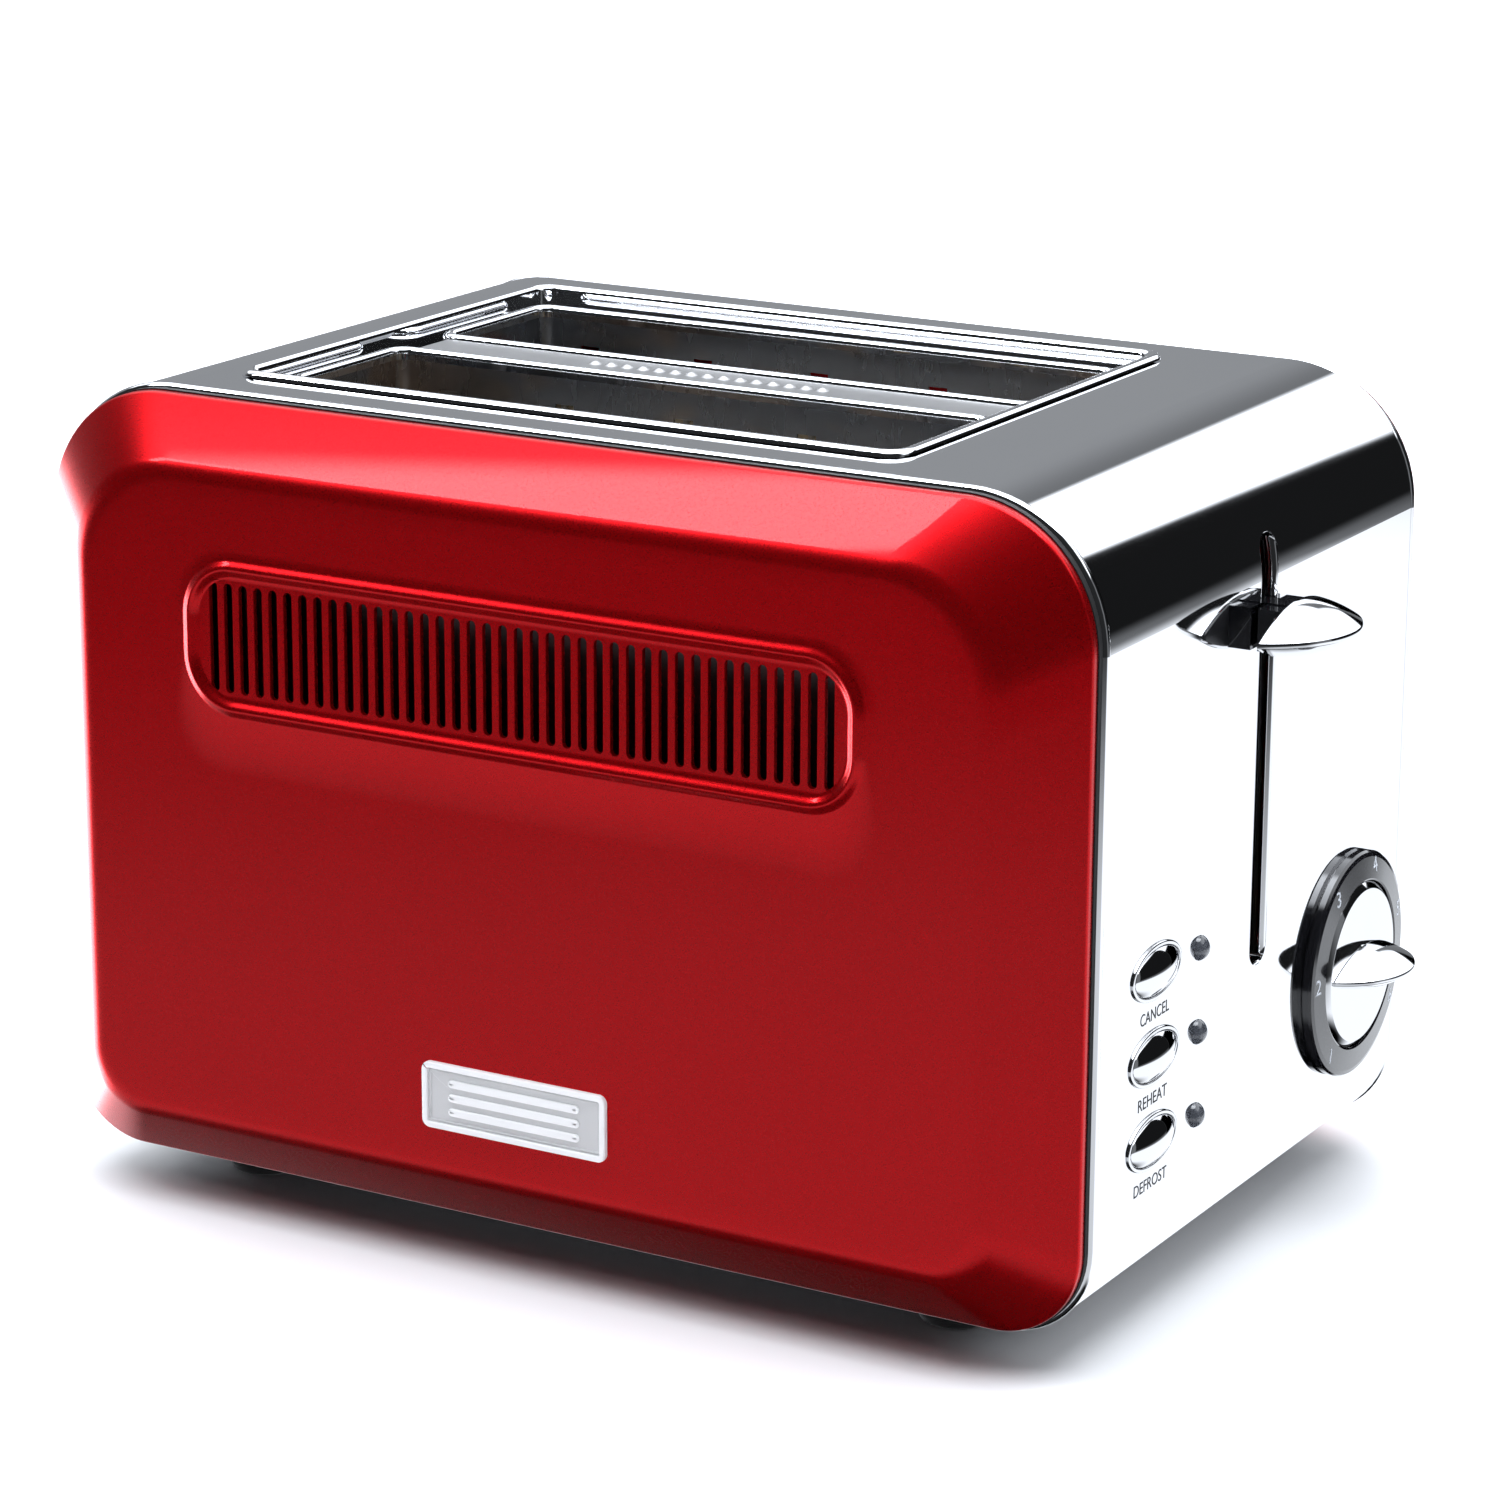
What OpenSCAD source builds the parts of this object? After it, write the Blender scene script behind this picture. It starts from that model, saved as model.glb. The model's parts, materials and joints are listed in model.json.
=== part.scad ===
// Two-slice pop-up toaster with painted side panels and a chrome wrap-around cover.
// Millimetres. +X is the control end, -Y the front panel, +Z up, Z = 0 the counter.
// Every module draws in body places (X = 0 at the middle of the shell) and seat() then
// moves it, so that the origin is under the middle of the whole toaster.

/* [Shell] */
// Length of the chrome cover, end to end
body_l = 266; // [250:1:330]
// Width from rim to rim of the two side panels
body_w = 164; // [160:1:200]
// Height of the cover's top above the counter
body_h = 190; // [185:1:230]
// Gap between the counter and the shell
foot_h = 7.5; // [6:0.5:12]
// Corner radius of the cover at the top
corner_top = 32; // [24:0.5:36]
// Corner radius of the cover at the bottom
corner_bottom = 21.5; // [18:0.5:26]
// Sheet thickness of the chrome cover
cover_t = 0.8; // [0.6:0.1:1.2]
// Radius of the rolled bead on the cover's two edges
bead_r = 1.3; // [1.1:0.1:1.6]
// How far the bead stands out of the sheet
bead_proud = 0.3; // [0.2:0.1:0.5]
// Thickness of the gasket between a panel and the cover
gasket_t = 1.5; // [1:0.1:2.5]

/* [Side panels] */
// How far a panel's rim sits inside the cover's edge
panel_in = 1.3; // [0.8:0.1:1.5]
// Sheet thickness of a panel
panel_t = 1.2; // [0.8:0.1:1.6]
// How far a panel's face stands out of its rim
bulge = 14.8; // [10:0.2:20]
// Width of the sloped border at the panel's two ends
slope_end = 16.7; // [12:0.1:24]
// Width of the sloped border at the panel's top and bottom
slope_edge = 13.9; // [10:0.1:20]
// Corner radius of the flat face at the top
face_corner_top = 26.3; // [18:0.1:28]
// Corner radius of the flat face at the bottom
face_corner_bottom = 15; // [8:0.1:18]

/* [Vents] */
// Number of vent slots in a panel
vent_count = 40; // [20:1:42]
// Distance from one vent to the next
vent_pitch = 4; // [3.6:0.1:4]
// Width of a vent
vent_w = 2.25; // [1.6:0.05:2.6]
// Length of a vent
vent_h = 25; // [18:0.5:26]
// Height of the middle of the vents
vent_z = 138.2; // [130:0.2:142]
// Width of the embossed bead around the vents
frame_w = 4.7; // [3.5:0.1:5.5]
// Height of the embossed bead
frame_proud = 1.2; // [0.8:0.1:1.6]

/* [Badge] */
// Width of the badge
badge_w = 47.6; // [30:0.2:60]
// Height of the badge
badge_h = 15.4; // [10:0.2:18]
// Height of the badge's middle
badge_z = 41.4; // [38:0.2:60]
// Thickness of the badge
badge_t = 1.2; // [1:0.1:2.5]

/* [Bread slots] */
// Length of a bread slot
slot_l = 155; // [140:1:165]
// Width of a bread slot
slot_w = 41.4; // [36:0.2:43]
// Width of the bar between the slots
slot_gap = 21.2; // [18:0.2:24]
// Distance of the slots' middle from the shell's middle, towards the controls
slot_shift = -8.5; // [-14:0.5:-6]
// Radius of the rolled lip around a slot
lip_r = 1.4; // [1:0.1:1.6]
// Radius of the raised rail around both slots
rail_r = 1.7; // [1.5:0.1:2.2]
// How far the slots lie below the cover's top
slot_drop = 4; // [2:0.2:5]
// Space between a slot and the middle of the rail
rail_out = 7.5; // [6.5:0.1:8]
// Depth of the throat below a slot
throat_h = 15; // [12:0.5:18]

/* [Toasting chamber] */
// Sheet thickness of the chamber's end plates
plate_t = 0.8; // [0.6:0.1:1.2]
// Thickness of a heater card
card_t = 0.8; // [0.6:0.1:1.2]
// Number of ribbon turns on a heater card
turn_count = 11; // [6:1:12]
// Width of the heater ribbon
ribbon_w = 2.2; // [1.5:0.1:2.6]
// Thickness of the heater ribbon
ribbon_t = 0.35; // [0.3:0.05:0.5]
// Distance from a slot's middle to a bread guide, lever up
guide_off = 17.5; // [16:0.1:17.8]
// Number of upright wires in a bread guide
guide_wires = 9; // [5:1:11]
// Radius of an upright guide wire
guide_r = 0.8; // [0.6:0.1:1]

/* [Lever and carriage] */
// Height of the lever's middle, at rest
lever_z = 148; // [140:0.5:150]
// Travel of the lever down from rest
lever_down = 72; // [60:1:74]
// Travel of the lever up from rest, to lift small slices out
lever_up = 14; // [8:1:15]
// Width of the lever's slot in the cover
lever_slot_w = 9; // [7:0.2:11]
// Radius of the carriage's guide rod
rod_r = 2.5; // [2:0.1:3]
// Height of the bread rests' top, at rest
rest_z = 108; // [104:0.5:112]

/* [Controls] */
// Distance of the buttons from the shell's middle plane, towards the front
button_y = 52.4; // [46:0.2:56]
// Height of the lowest button
button_z = 45.3; // [40:0.2:50]
// Distance from one button to the next
button_pitch = 19.05; // [17:0.05:20]
// Half the width of a button
button_a = 10.8; // [8:0.1:12]
// Half the height of a button
button_b = 5; // [4:0.1:5.6]
// Travel of a button
button_travel = 2; // [1:0.1:3]
// Distance of the indicator lamps from the middle plane, towards the front
lamp_y = 30.4; // [26:0.2:34]
// Radius of an indicator lamp
lamp_r = 2.8; // [2:0.1:3.5]
// Distance of the dial from the middle plane, towards the rear
dial_y = 51; // [46:0.5:52]
// Height of the dial's middle
dial_z = 56.3; // [50:0.1:64]
// Outer radius of the dial's number ring
ring_r = 26.4; // [24:0.1:27]
// Radius of the dial's knob
knob_r = 19.3; // [16:0.1:20]

/* [Crumb tray and cord] */
// Half the width of the crumb tray
tray_y = 56; // [48:0.5:58]
// Height of the crumb tray's walls
tray_h = 6.5; // [4:0.5:8]
// Radius of the cord's hole in the gland
cord_r = 3.7; // [3:0.1:4]
// Reach of the cord gland outside the cover
gland_out = 5; // [3:0.5:8]

/* [Hidden] */
$fn = 64;

eps = 0.01;
fit_gap = 0.15;
run_gap = 0.05;
half_l = body_l / 2;
half_w = body_w / 2;
face_x = half_l - bead_proud;
band_y = half_w - gasket_t;

// Steps of the pressed panel: [share of the sloped border, share of the bulge]
panel_steps = [[0, 0.08], [0.02, 0.135], [0.07, 0.2], [0.93, 0.94], [0.975, 0.98], [1.04, 1]];
frame_out_x = 8.65;
frame_out_z = 5.9;
frame_corner = 14;

// Lever knob, dial wing and the reach of both out of the end face
stem_t = 5.4;
stem_h = 10;
neck_y = 7.5;
neck_in = 0.8;
knob_back = 6.1;
knob_x = 13.7;
knob_y = 20.5;
knob_z = 5.9;
knob_rim = 1.2;
wing_x = 11.4;
wing_y = 17;
wing_z = 4.6;
disc_out = 4;
reach_right = half_l + knob_back + knob_x;
reach_left = half_l + gland_out;
origin_x = (reach_left - reach_right) / 2;

// Slots and the surround
slot_y = (slot_gap + slot_w) / 2;
slot_x0 = slot_shift - slot_l / 2;
slot_x1 = slot_shift + slot_l / 2;
slot_corner = 3;
rail_x0 = slot_x0 - rail_out;
rail_x1 = slot_x1 + rail_out - 1;
rail_y = slot_y + slot_w / 2 + rail_out + 4;
rail_corner = 5;
rail_z = body_h - 0.5;
sheet_t = 1.4;
sheet_z = body_h - 0.6 - slot_drop;
sheet_top = sheet_z + sheet_t;
throat_t = 0.6;
rail_wall = 1.2;
throat_z = body_h - 0.8 - throat_h;
pip_count = 15;
pip_pitch = 4.3;

// Base plate and feet
base_z = foot_h + bead_proud + cover_t;
base_t = 3;
base_top = base_z + base_t;
return_x = half_l - corner_bottom - 8;
base_tongue = 4.5;
rod_press = 0.01;
rib_t = 1.6;
foot_r = 9;
foot_x = half_l - 41;
foot_y = half_w - 20;
spigot_r = 3;
screw_r = 1.5;
screw_head_r = 3;
screw_head_h = 1.8;
cover_screw_x = return_x + 2.3;
cover_screw_y = half_w - 24;

// Crumb tray
tray_z = base_top + 0.7;
tray_x0 = -half_l + corner_bottom + 1 -
    sqrt(pow(corner_bottom - bead_proud - cover_t, 2) - pow(foot_h + corner_bottom - tray_z, 2));
tray_t = 0.6;
tray_front_z0 = tray_z - 0.2;
tray_front_h = 10;
tray_grip = 4;

// Cord gland and terminal block
gland_y = half_w - 14;
gland_z = foot_h + corner_bottom + 12;
gland_r = 5.2;
block_h = 16;
block_w = 18;
block_t = 12;

// Chamber
plate_x0 = slot_x0 - 6;
plate_x1 = slot_x1 + 6;
plate_y = slot_y + slot_w / 2 + 14;
plate_top = throat_z - 1;
flange_y = tray_y + 1.5;
plate_screw_x = [plate_x0 - plate_t - 6, plate_x1 + plate_t + 3.5];
plate_screw_y = flange_y + 4.5;
block_x = plate_x0 - plate_t - block_t;
reflector_t = 0.5;
reflector_y = slot_y + slot_w / 2 + 10;
card_out_y = slot_y + slot_w / 2 + 5.5;
card_in_y = slot_gap / 2 - 5.5;
card_z0 = 34;
card_z1 = plate_top - 4;
tab_z = [62, 132];
tab_h = 12;
turn_z0 = card_z0 + 10;
turn_pitch = (card_z1 - 10 - turn_z0) / (turn_count - 1);
ribbon_x0 = slot_x0 + 4;
ribbon_x1 = slot_x1 - 4;
guide_bar_r = 1;
guide_z0 = 27;
guide_z1 = plate_top - 5;
guide_in = lever_down / 10;
guide_out = lever_up / 10;

// Carriage, mechanism and boards
carriage_x = plate_x1 + plate_t + 7;
carriage_t = 1.2;
bush_r = 5.5;
rod_x = carriage_x + carriage_t + bush_r - 0.3;
wing_z0 = rest_z - 8;
wing_z1 = rest_z + 16;
rest_h = 7;
rest_t = 2;
arm_x0 = slot_x0 + 3;
bracket_z = plate_top - 2;
bracket_y = slot_y - guide_off - guide_out - guide_bar_r - 0.8;
spring_y = 15;
spring_x = carriage_x + carriage_t + 4;
spring_r = 3.2;
spring_wire = 0.5;
spring_turns = 14;
spring_tab_z = wing_z1 - 6;
spring_top = bracket_z - carriage_t;
spring_sides = 6;
spring_steps = 12;
spring_rings = spring_turns * spring_steps;
spring_lift = spring_top - spring_tab_z - 2 * spring_wire;
latch_y = -24;
latch_w = 16;
latch_z = wing_z0 + 6;
latch_t = 3;
core_top = latch_z - lever_down - 0.4;
core_x0 = carriage_x + carriage_t + 3;
core_leg = 5;
core_gap = 9;
tongue_t = 2;
tongue_h = 6;
stem_x0 = rod_x + bush_r + 2;
lever_slot_z0 = lever_z - lever_down - stem_h / 2 - 1;
lever_slot_z1 = lever_z + lever_up + stem_h / 2 + 1;
board_t = 1.6;
board_x = half_l - 17;
shelf_x = board_x + board_t + fit_gap + rib_t;
shelf_in = shelf_x - (half_l - corner_bottom);
shelf_z = foot_h + corner_bottom + 0.4 -
    sqrt(pow(corner_bottom - bead_proud - cover_t, 2) - shelf_in * shelf_in);
board_foot = max(base_top, shelf_z + 2);
button_gap = 0.25;
button_dome = 2.2;
bezel_wall = 0.5;
bezel_lip = 0.5;
collar_in = 3.5;
switch_t = 4;
plunger_h = 1;
lamp_dome = 1.9;
shaft_r = 3;
pot_r = 8.5;
pot_h = 6;

function button_height(i) = button_z + i * button_pitch;

module seat() {
    translate([origin_x, 0, 0]) children();
}

module along_x(x0, x1) {
    translate([x0, 0, 0]) rotate([90, 0, 90]) linear_extrude(x1 - x0) children();
}

module along_y(y0, y1) {
    translate([0, y1, 0]) rotate([90, 0, 0]) linear_extrude(y1 - y0) children();
}

module box(x0, x1, y0, y1, z0, z1) {
    translate([x0, y0, z0]) cube([x1 - x0, y1 - y0, z1 - z0]);
}

module bar_x(x0, x1, y, z, r) {
    translate([x0, y, z]) rotate([0, 90, 0]) cylinder(r = r, h = x1 - x0);
}

module bar_y(x, y0, y1, z, r) {
    translate([x, y1, z]) rotate([90, 0, 0]) cylinder(r = r, h = y1 - y0);
}

module bar_z(x, y, z0, z1, r) {
    translate([x, y, z0]) cylinder(r = r, h = z1 - z0);
}

// Prism along X with an elliptical outline
module oval_x(x0, x1, y, z, a, b) {
    translate([x0, y, z]) scale([1, a / b, 1]) rotate([0, 90, 0]) cylinder(r = b, h = x1 - x0);
}

module round_rect(x0, x1, y0, y1, r) {
    translate([x0 + r, y0]) square([x1 - x0 - 2 * r, y1 - y0]);
    translate([x0, y0 + r]) square([x1 - x0, y1 - y0 - 2 * r]);
    for (x = [x0 + r, x1 - r], y = [y0 + r, y1 - r])
        translate([x, y]) circle(r);
}

// Upright outline of the shell: length, bottom, top and the two corner radii
module outline(l, lo, hi, r_hi, r_lo) {
    translate([-l / 2, lo + r_lo]) square([l, hi - lo - r_lo - r_hi]);
    translate([-l / 2 + r_lo, lo]) square([l - 2 * r_lo, r_lo + 1]);
    translate([-l / 2 + r_hi, hi - r_hi - 1]) square([l - 2 * r_hi, r_hi + 1]);
    for (s = [-1, 1]) {
        translate([s * (l / 2 - r_lo), lo + r_lo]) circle(r_lo);
        translate([s * (l / 2 - r_hi), hi - r_hi]) circle(r_hi);
    }
}

module band_outline(inset) {
    outline(body_l - 2 * inset, foot_h + inset, body_h - inset, corner_top - inset, corner_bottom - inset);
}

module quarter_bend(path_r, tube_r) {
    rotate_extrude(angle = 90) translate([path_r, 0]) circle(tube_r);
}

// Closed tube along a rounded rectangle in the XY plane
module tube_loop(x0, x1, y0, y1, path_r, tube_r) {
    for (y = [y0, y1]) bar_x(x0 + path_r, x1 - path_r, y, 0, tube_r);
    for (x = [x0, x1]) bar_y(x, y0 + path_r, y1 - path_r, 0, tube_r);
    translate([x1 - path_r, y1 - path_r, 0]) quarter_bend(path_r, tube_r);
    translate([x0 + path_r, y1 - path_r, 0]) rotate(90) quarter_bend(path_r, tube_r);
    translate([x0 + path_r, y0 + path_r, 0]) rotate(180) quarter_bend(path_r, tube_r);
    translate([x1 - path_r, y0 + path_r, 0]) rotate(270) quarter_bend(path_r, tube_r);
}

// ---------------------------------------------------------------- side panels

// Solid inside of the pressed panel, "in" smaller all round, that reaches "behind" past the rim
module panel_form(in, behind) {
    edge = panel_in + in;
    hull() for (s = panel_steps) along_y(in - s[1] * bulge, behind)
        outline(
            body_l - 2 * edge - 2 * s[0] * slope_end,
            foot_h + edge + s[0] * slope_edge,
            body_h - edge - s[0] * slope_edge,
            corner_top - edge + s[0] * (face_corner_top - corner_top),
            corner_bottom - edge + s[0] * (face_corner_bottom - corner_bottom),
            $fn = 56
        );
}

module vent_holes() {
    for (i = [0 : vent_count - 1]) translate([(i - (vent_count - 1) / 2) * vent_pitch, vent_z]) {
        square([vent_w, vent_h - vent_w], center = true);
        for (s = [-1, 1]) translate([0, s * (vent_h - vent_w) / 2]) circle(d = vent_w, $fn = 24);
    }
}

// Half-round bead pressed out of the face around the vents
module vent_frame() {
    mid_x = (vent_count - 1) * vent_pitch / 2 + frame_out_x - frame_w / 2;
    mid_z = vent_h / 2 + frame_out_z - frame_w / 2;
    intersection() {
        translate([0, -bulge + frame_w / 2 - frame_proud, vent_z]) rotate([90, 0, 0])
            tube_loop(-mid_x, mid_x, -mid_z, mid_z, frame_corner - frame_w / 2, frame_w / 2);
        box(-half_l, half_l, -bulge - frame_proud - 1, -bulge + panel_t / 2, 0, body_h);
    }
}

module side_panel() {
    difference() {
        union() {
            difference() {
                panel_form(0, 0);
                panel_form(panel_t, 1);
            }
            vent_frame();
        }
        along_y(-bulge - 2, -bulge + panel_t + 1) vent_holes();
    }
}

module front_panel() {
    color("firebrick") seat() translate([0, -half_w, 0]) side_panel();
}

module rear_panel() {
    color("firebrick") seat() mirror([0, 1, 0]) translate([0, -half_w, 0]) side_panel();
}

module gasket() {
    along_y(-half_w, -half_w + gasket_t) difference() {
        band_outline(1);
        band_outline(3.6);
    }
}

module front_gasket() {
    color("black") seat() gasket();
}

module rear_gasket() {
    color("black") seat() mirror([0, 1, 0]) gasket();
}

module badge() {
    color("gainsboro") seat() along_y(-half_w - bulge - badge_t, -half_w - bulge) difference() {
        translate([0, badge_z]) round_rect(-badge_w / 2, badge_w / 2, -badge_h / 2, badge_h / 2, 2);
        translate([0, badge_z])
            round_rect(-badge_w / 2 + 1.4, badge_w / 2 - 1.4, -badge_h / 2 + 1.4, badge_h / 2 - 1.4, 1);
    }
}

module badge_inlay() {
    inlay = fit_gap + 1.4;
    color("white") seat() along_y(-half_w - bulge - badge_t + 0.5, -half_w - bulge) translate([0, badge_z])
        round_rect(-badge_w / 2 + inlay, badge_w / 2 - inlay, -badge_h / 2 + inlay, badge_h / 2 - inlay, 0.9);
}

// ---------------------------------------------------------------- chrome cover

// Rolled edge of the cover, open below between the two returns
module band_bead() {
    mid = bead_r;
    top = half_l - corner_top;
    low = half_l - corner_bottom;
    bar_x(-top, top, 0, body_h - mid, bead_r);
    for (s = [0, 1]) mirror([s, 0, 0]) {
        bar_z(half_l - mid, 0, foot_h + corner_bottom, body_h - corner_top, bead_r);
        bar_x(return_x, low, 0, foot_h + mid, bead_r);
        translate([top, 0, body_h - corner_top]) rotate([90, 0, 0]) quarter_bend(corner_top - mid, bead_r);
        translate([low, 0, foot_h + corner_bottom]) rotate([90, 0, 0]) rotate(270)
            quarter_bend(corner_bottom - mid, bead_r);
    }
}

module slot_shape(w, z0, z1) {
    translate([-w / 2, z0 + w / 2]) square([w, z1 - z0 - w]);
    for (z = [z0 + w / 2, z1 - w / 2]) translate([0, z]) circle(w / 2);
}

// Inward flange around the lever's slot
module lever_flange() {
    intersection() {
        along_x(face_x - 5, half_l) slot_shape(lever_slot_w + 2, lever_slot_z0 - 1, lever_slot_z1 + 1);
        along_y(-20, 20) band_outline(bead_proud);
    }
}

module wrap_cover() {
    color("silver") seat() difference() {
        union() {
            along_y(-band_y + bead_r, band_y - bead_r) difference() {
                band_outline(bead_proud);
                band_outline(bead_proud + cover_t);
                translate([-return_x, 0]) square([2 * return_x, foot_h + 5]);
            }
            for (s = [-1, 1]) translate([0, s * (band_y - bead_r), 0]) band_bead();
            lever_flange();
        }
        translate([0, 0, body_h - 5]) linear_extrude(10)
            round_rect(rail_x0, rail_x1, -rail_y, rail_y, rail_corner);
        along_x(face_x - 8, half_l + 1) slot_shape(lever_slot_w, lever_slot_z0, lever_slot_z1);
        for (i = [0 : 2]) {
            collar = button_gap + bezel_wall + fit_gap;
            oval_x(
                face_x - 3, half_l + 1, -button_y, button_height(i),
                button_a + collar, button_b + collar
            );
            bar_x(face_x - 3, half_l + 1, -lamp_y, button_height(i) - 1, lamp_r - 0.5 + fit_gap);
        }
        bar_x(face_x - 3, half_l + 1, dial_y, dial_z, shaft_r + 2);
        box(
            -half_l - 1, -half_l + 18, -tray_y - 0.8, tray_y + 0.8,
            tray_front_z0 - 0.3, tray_front_z0 + tray_front_h + 0.3
        );
        bar_x(-half_l - 1, -half_l + 3, gland_y, gland_z, gland_r + fit_gap);
        for (sx = [-1, 1], sy = [-1, 1])
            bar_z(sx * cover_screw_x, sy * cover_screw_y, foot_h - 1, base_z + eps, screw_r + fit_gap);
    }
}

// ---------------------------------------------------------------- top

module slot_cuts(z0, z1) {
    for (s = [-1, 1]) translate([0, 0, z0]) linear_extrude(z1 - z0)
        round_rect(slot_x0, slot_x1, s * slot_y - slot_w / 2, s * slot_y + slot_w / 2, slot_corner);
}

// Wall that joins the sunken sheet to the rail
module rail_upright() {
    inner = fit_gap + rail_wall;
    translate([0, 0, sheet_z]) linear_extrude(body_h - sheet_z + 0.4) difference() {
        round_rect(
            rail_x0 + fit_gap, rail_x1 - fit_gap, -rail_y + fit_gap, rail_y - fit_gap,
            rail_corner - fit_gap
        );
        round_rect(rail_x0 + inner, rail_x1 - inner, -rail_y + inner, rail_y - inner, rail_corner - inner);
    }
}

// Pressed top: sunken sheet, rolled lips around the slots and the raised rail
module slot_surround() {
    color("silver") seat() difference() {
        union() {
            translate([0, 0, sheet_z]) linear_extrude(sheet_t)
                round_rect(
                    rail_x0 + fit_gap, rail_x1 - fit_gap, -rail_y + fit_gap, rail_y - fit_gap,
                    rail_corner - fit_gap
                );
            rail_upright();
            intersection() {
                translate([0, 0, rail_z]) tube_loop(rail_x0, rail_x1, -rail_y, rail_y, rail_corner, rail_r);
                box(-half_l, half_l, -half_w, half_w, body_h, body_h + 5);
            }
            for (s = [-1, 1]) intersection() {
                translate([0, 0, sheet_top]) tube_loop(
                    slot_x0 - lip_r, slot_x1 + lip_r,
                    s * slot_y - slot_w / 2 - lip_r, s * slot_y + slot_w / 2 + lip_r,
                    slot_corner + lip_r, lip_r
                );
                box(-half_l, half_l, -half_w, half_w, sheet_z, body_h + 5);
            }
        }
        slot_cuts(sheet_z - 1, body_h + 5);
    }
}

module divider_bar() {
    edge = slot_gap / 2 - 2 * lip_r - 0.4;
    color("silver") seat() union() {
        box(slot_x0 + 2, slot_x1 - 2, -edge, edge, sheet_top, sheet_top + 0.5);
        intersection() {
            for (i = [0 : pip_count - 1])
                translate([slot_shift + (i - (pip_count - 1) / 2) * pip_pitch, 0, sheet_top - 0.6])
                    sphere(1.9);
            box(slot_x0, slot_x1, -edge, edge, sheet_top, body_h + 5);
        }
    }
}

module throat(s) {
    y0 = s * slot_y - slot_w / 2;
    y1 = s * slot_y + slot_w / 2;
    color("dimgray") seat() difference() {
        union() {
            translate([0, 0, throat_z]) linear_extrude(sheet_z - throat_z)
                round_rect(
                    slot_x0 - throat_t, slot_x1 + throat_t, y0 - throat_t, y1 + throat_t,
                    slot_corner + throat_t
                );
            box(slot_x0 - 4, slot_x1 + 4, y0 - 3.5, y1 + 3.5, sheet_z - throat_t, sheet_z);
        }
        translate([0, 0, throat_z - 1]) linear_extrude(sheet_z - throat_z + 2)
            round_rect(slot_x0, slot_x1, y0, y1, slot_corner);
        for (i = [-2 : 2])
            translate([slot_shift + i * 32, 0, 0])
                box(-2.5, 2.5, y0 - 9, y1 + 9, throat_z + 3, throat_z + 5);
    }
}

module throat_front() {
    throat(-1);
}

module throat_rear() {
    throat(1);
}

// ---------------------------------------------------------------- base

module base_plate() {
    lug_y = [-button_y - 14, -lamp_y + 4, dial_y - 20, dial_y + 14];
    color("#202020") seat() difference() {
        union() {
            box(-return_x + 0.3, return_x - 0.3, -band_y + 0.1, band_y - 0.1, base_z, base_top);
            box(-return_x - base_tongue, return_x + base_tongue, -band_y + 3, band_y - 3, base_z, base_top);
            bar_z(rod_x, 0, base_top - eps, base_top + 6, rod_r + 3);
            for (s = [-1, 1])
                translate([0, s * (tray_y + 2), 0])
                    box(plate_x0 + 4, plate_x1 - 2, -0.8, 0.8, base_top - eps, base_top + 6);
            for (y = lug_y) {
                box(return_x, shelf_x, y, y + 6, shelf_z, max(base_top, shelf_z + 1));
                box(board_x - rib_t - fit_gap, shelf_x, y, y + 6, shelf_z, board_foot);
                for (x = [board_x - rib_t - fit_gap, board_x + board_t + fit_gap])
                    box(x, x + rib_t, y, y + 6, board_foot - eps, board_foot + 4);
            }
        }
        bar_z(rod_x, 0, base_top, base_top + 7, rod_r + rod_press);
        for (sx = [-1, 1], sy = [-1, 1]) {
            bar_z(sx * foot_x, sy * foot_y, base_z - 1, base_top - 0.8, spigot_r + fit_gap);
            bar_z(sx * cover_screw_x, sy * cover_screw_y, base_z - 1, base_top + 1, screw_r + run_gap);
        }
        for (i = [-5 : 5]) box(i * 14 - 1.5, i * 14 + 1.5, -40, 40, base_z - 1, base_top + 1);
        for (sy = [-1, 1], x = plate_screw_x)
            bar_z(x, sy * plate_screw_y, base_z - 1, base_top + 1, screw_r + run_gap);
    }
}

module foot(sx, sy) {
    color("#101010") seat() translate([sx * foot_x, sy * foot_y, 0]) rotate_extrude() polygon([
        [0, 0], [foot_r - 1.5, 0], [foot_r - 0.6, 0.6], [foot_r, 2], [foot_r, base_z],
        [spigot_r, base_z], [spigot_r, base_z + 1.8], [0, base_z + 1.8]
    ]);
}

module foot_front_left() {
    foot(-1, -1);
}

module foot_front_right() {
    foot(1, -1);
}

module foot_rear_left() {
    foot(-1, 1);
}

module foot_rear_right() {
    foot(1, 1);
}

// Pan-head screw pointing up, its head's seat at Z = 0
module screw(l) {
    bar_z(0, 0, -screw_head_h, 0, screw_head_r);
    bar_z(0, 0, -eps, l, screw_r);
}

module screws() {
    color("dimgray") seat() {
        for (sx = [-1, 1], sy = [-1, 1])
            translate([sx * cover_screw_x, sy * cover_screw_y, foot_h + bead_proud])
                screw(cover_t + base_t - 0.3);
        for (sy = [-1, 1], x = plate_screw_x)
            translate([x, sy * plate_screw_y, base_top + plate_t]) mirror([0, 0, 1])
                screw(plate_t + base_t - 0.3);
    }
}

// ---------------------------------------------------------------- crumb tray

module crumb_tray() {
    x1 = plate_x1 - 3;
    color("gray") seat() difference() {
        box(tray_x0, x1, -tray_y, tray_y, tray_z, tray_z + tray_h);
        box(
            tray_x0 + tray_t, x1 - tray_t, -tray_y + tray_t, tray_y - tray_t,
            tray_z + tray_t, tray_z + tray_h + 1
        );
    }
}

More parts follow.
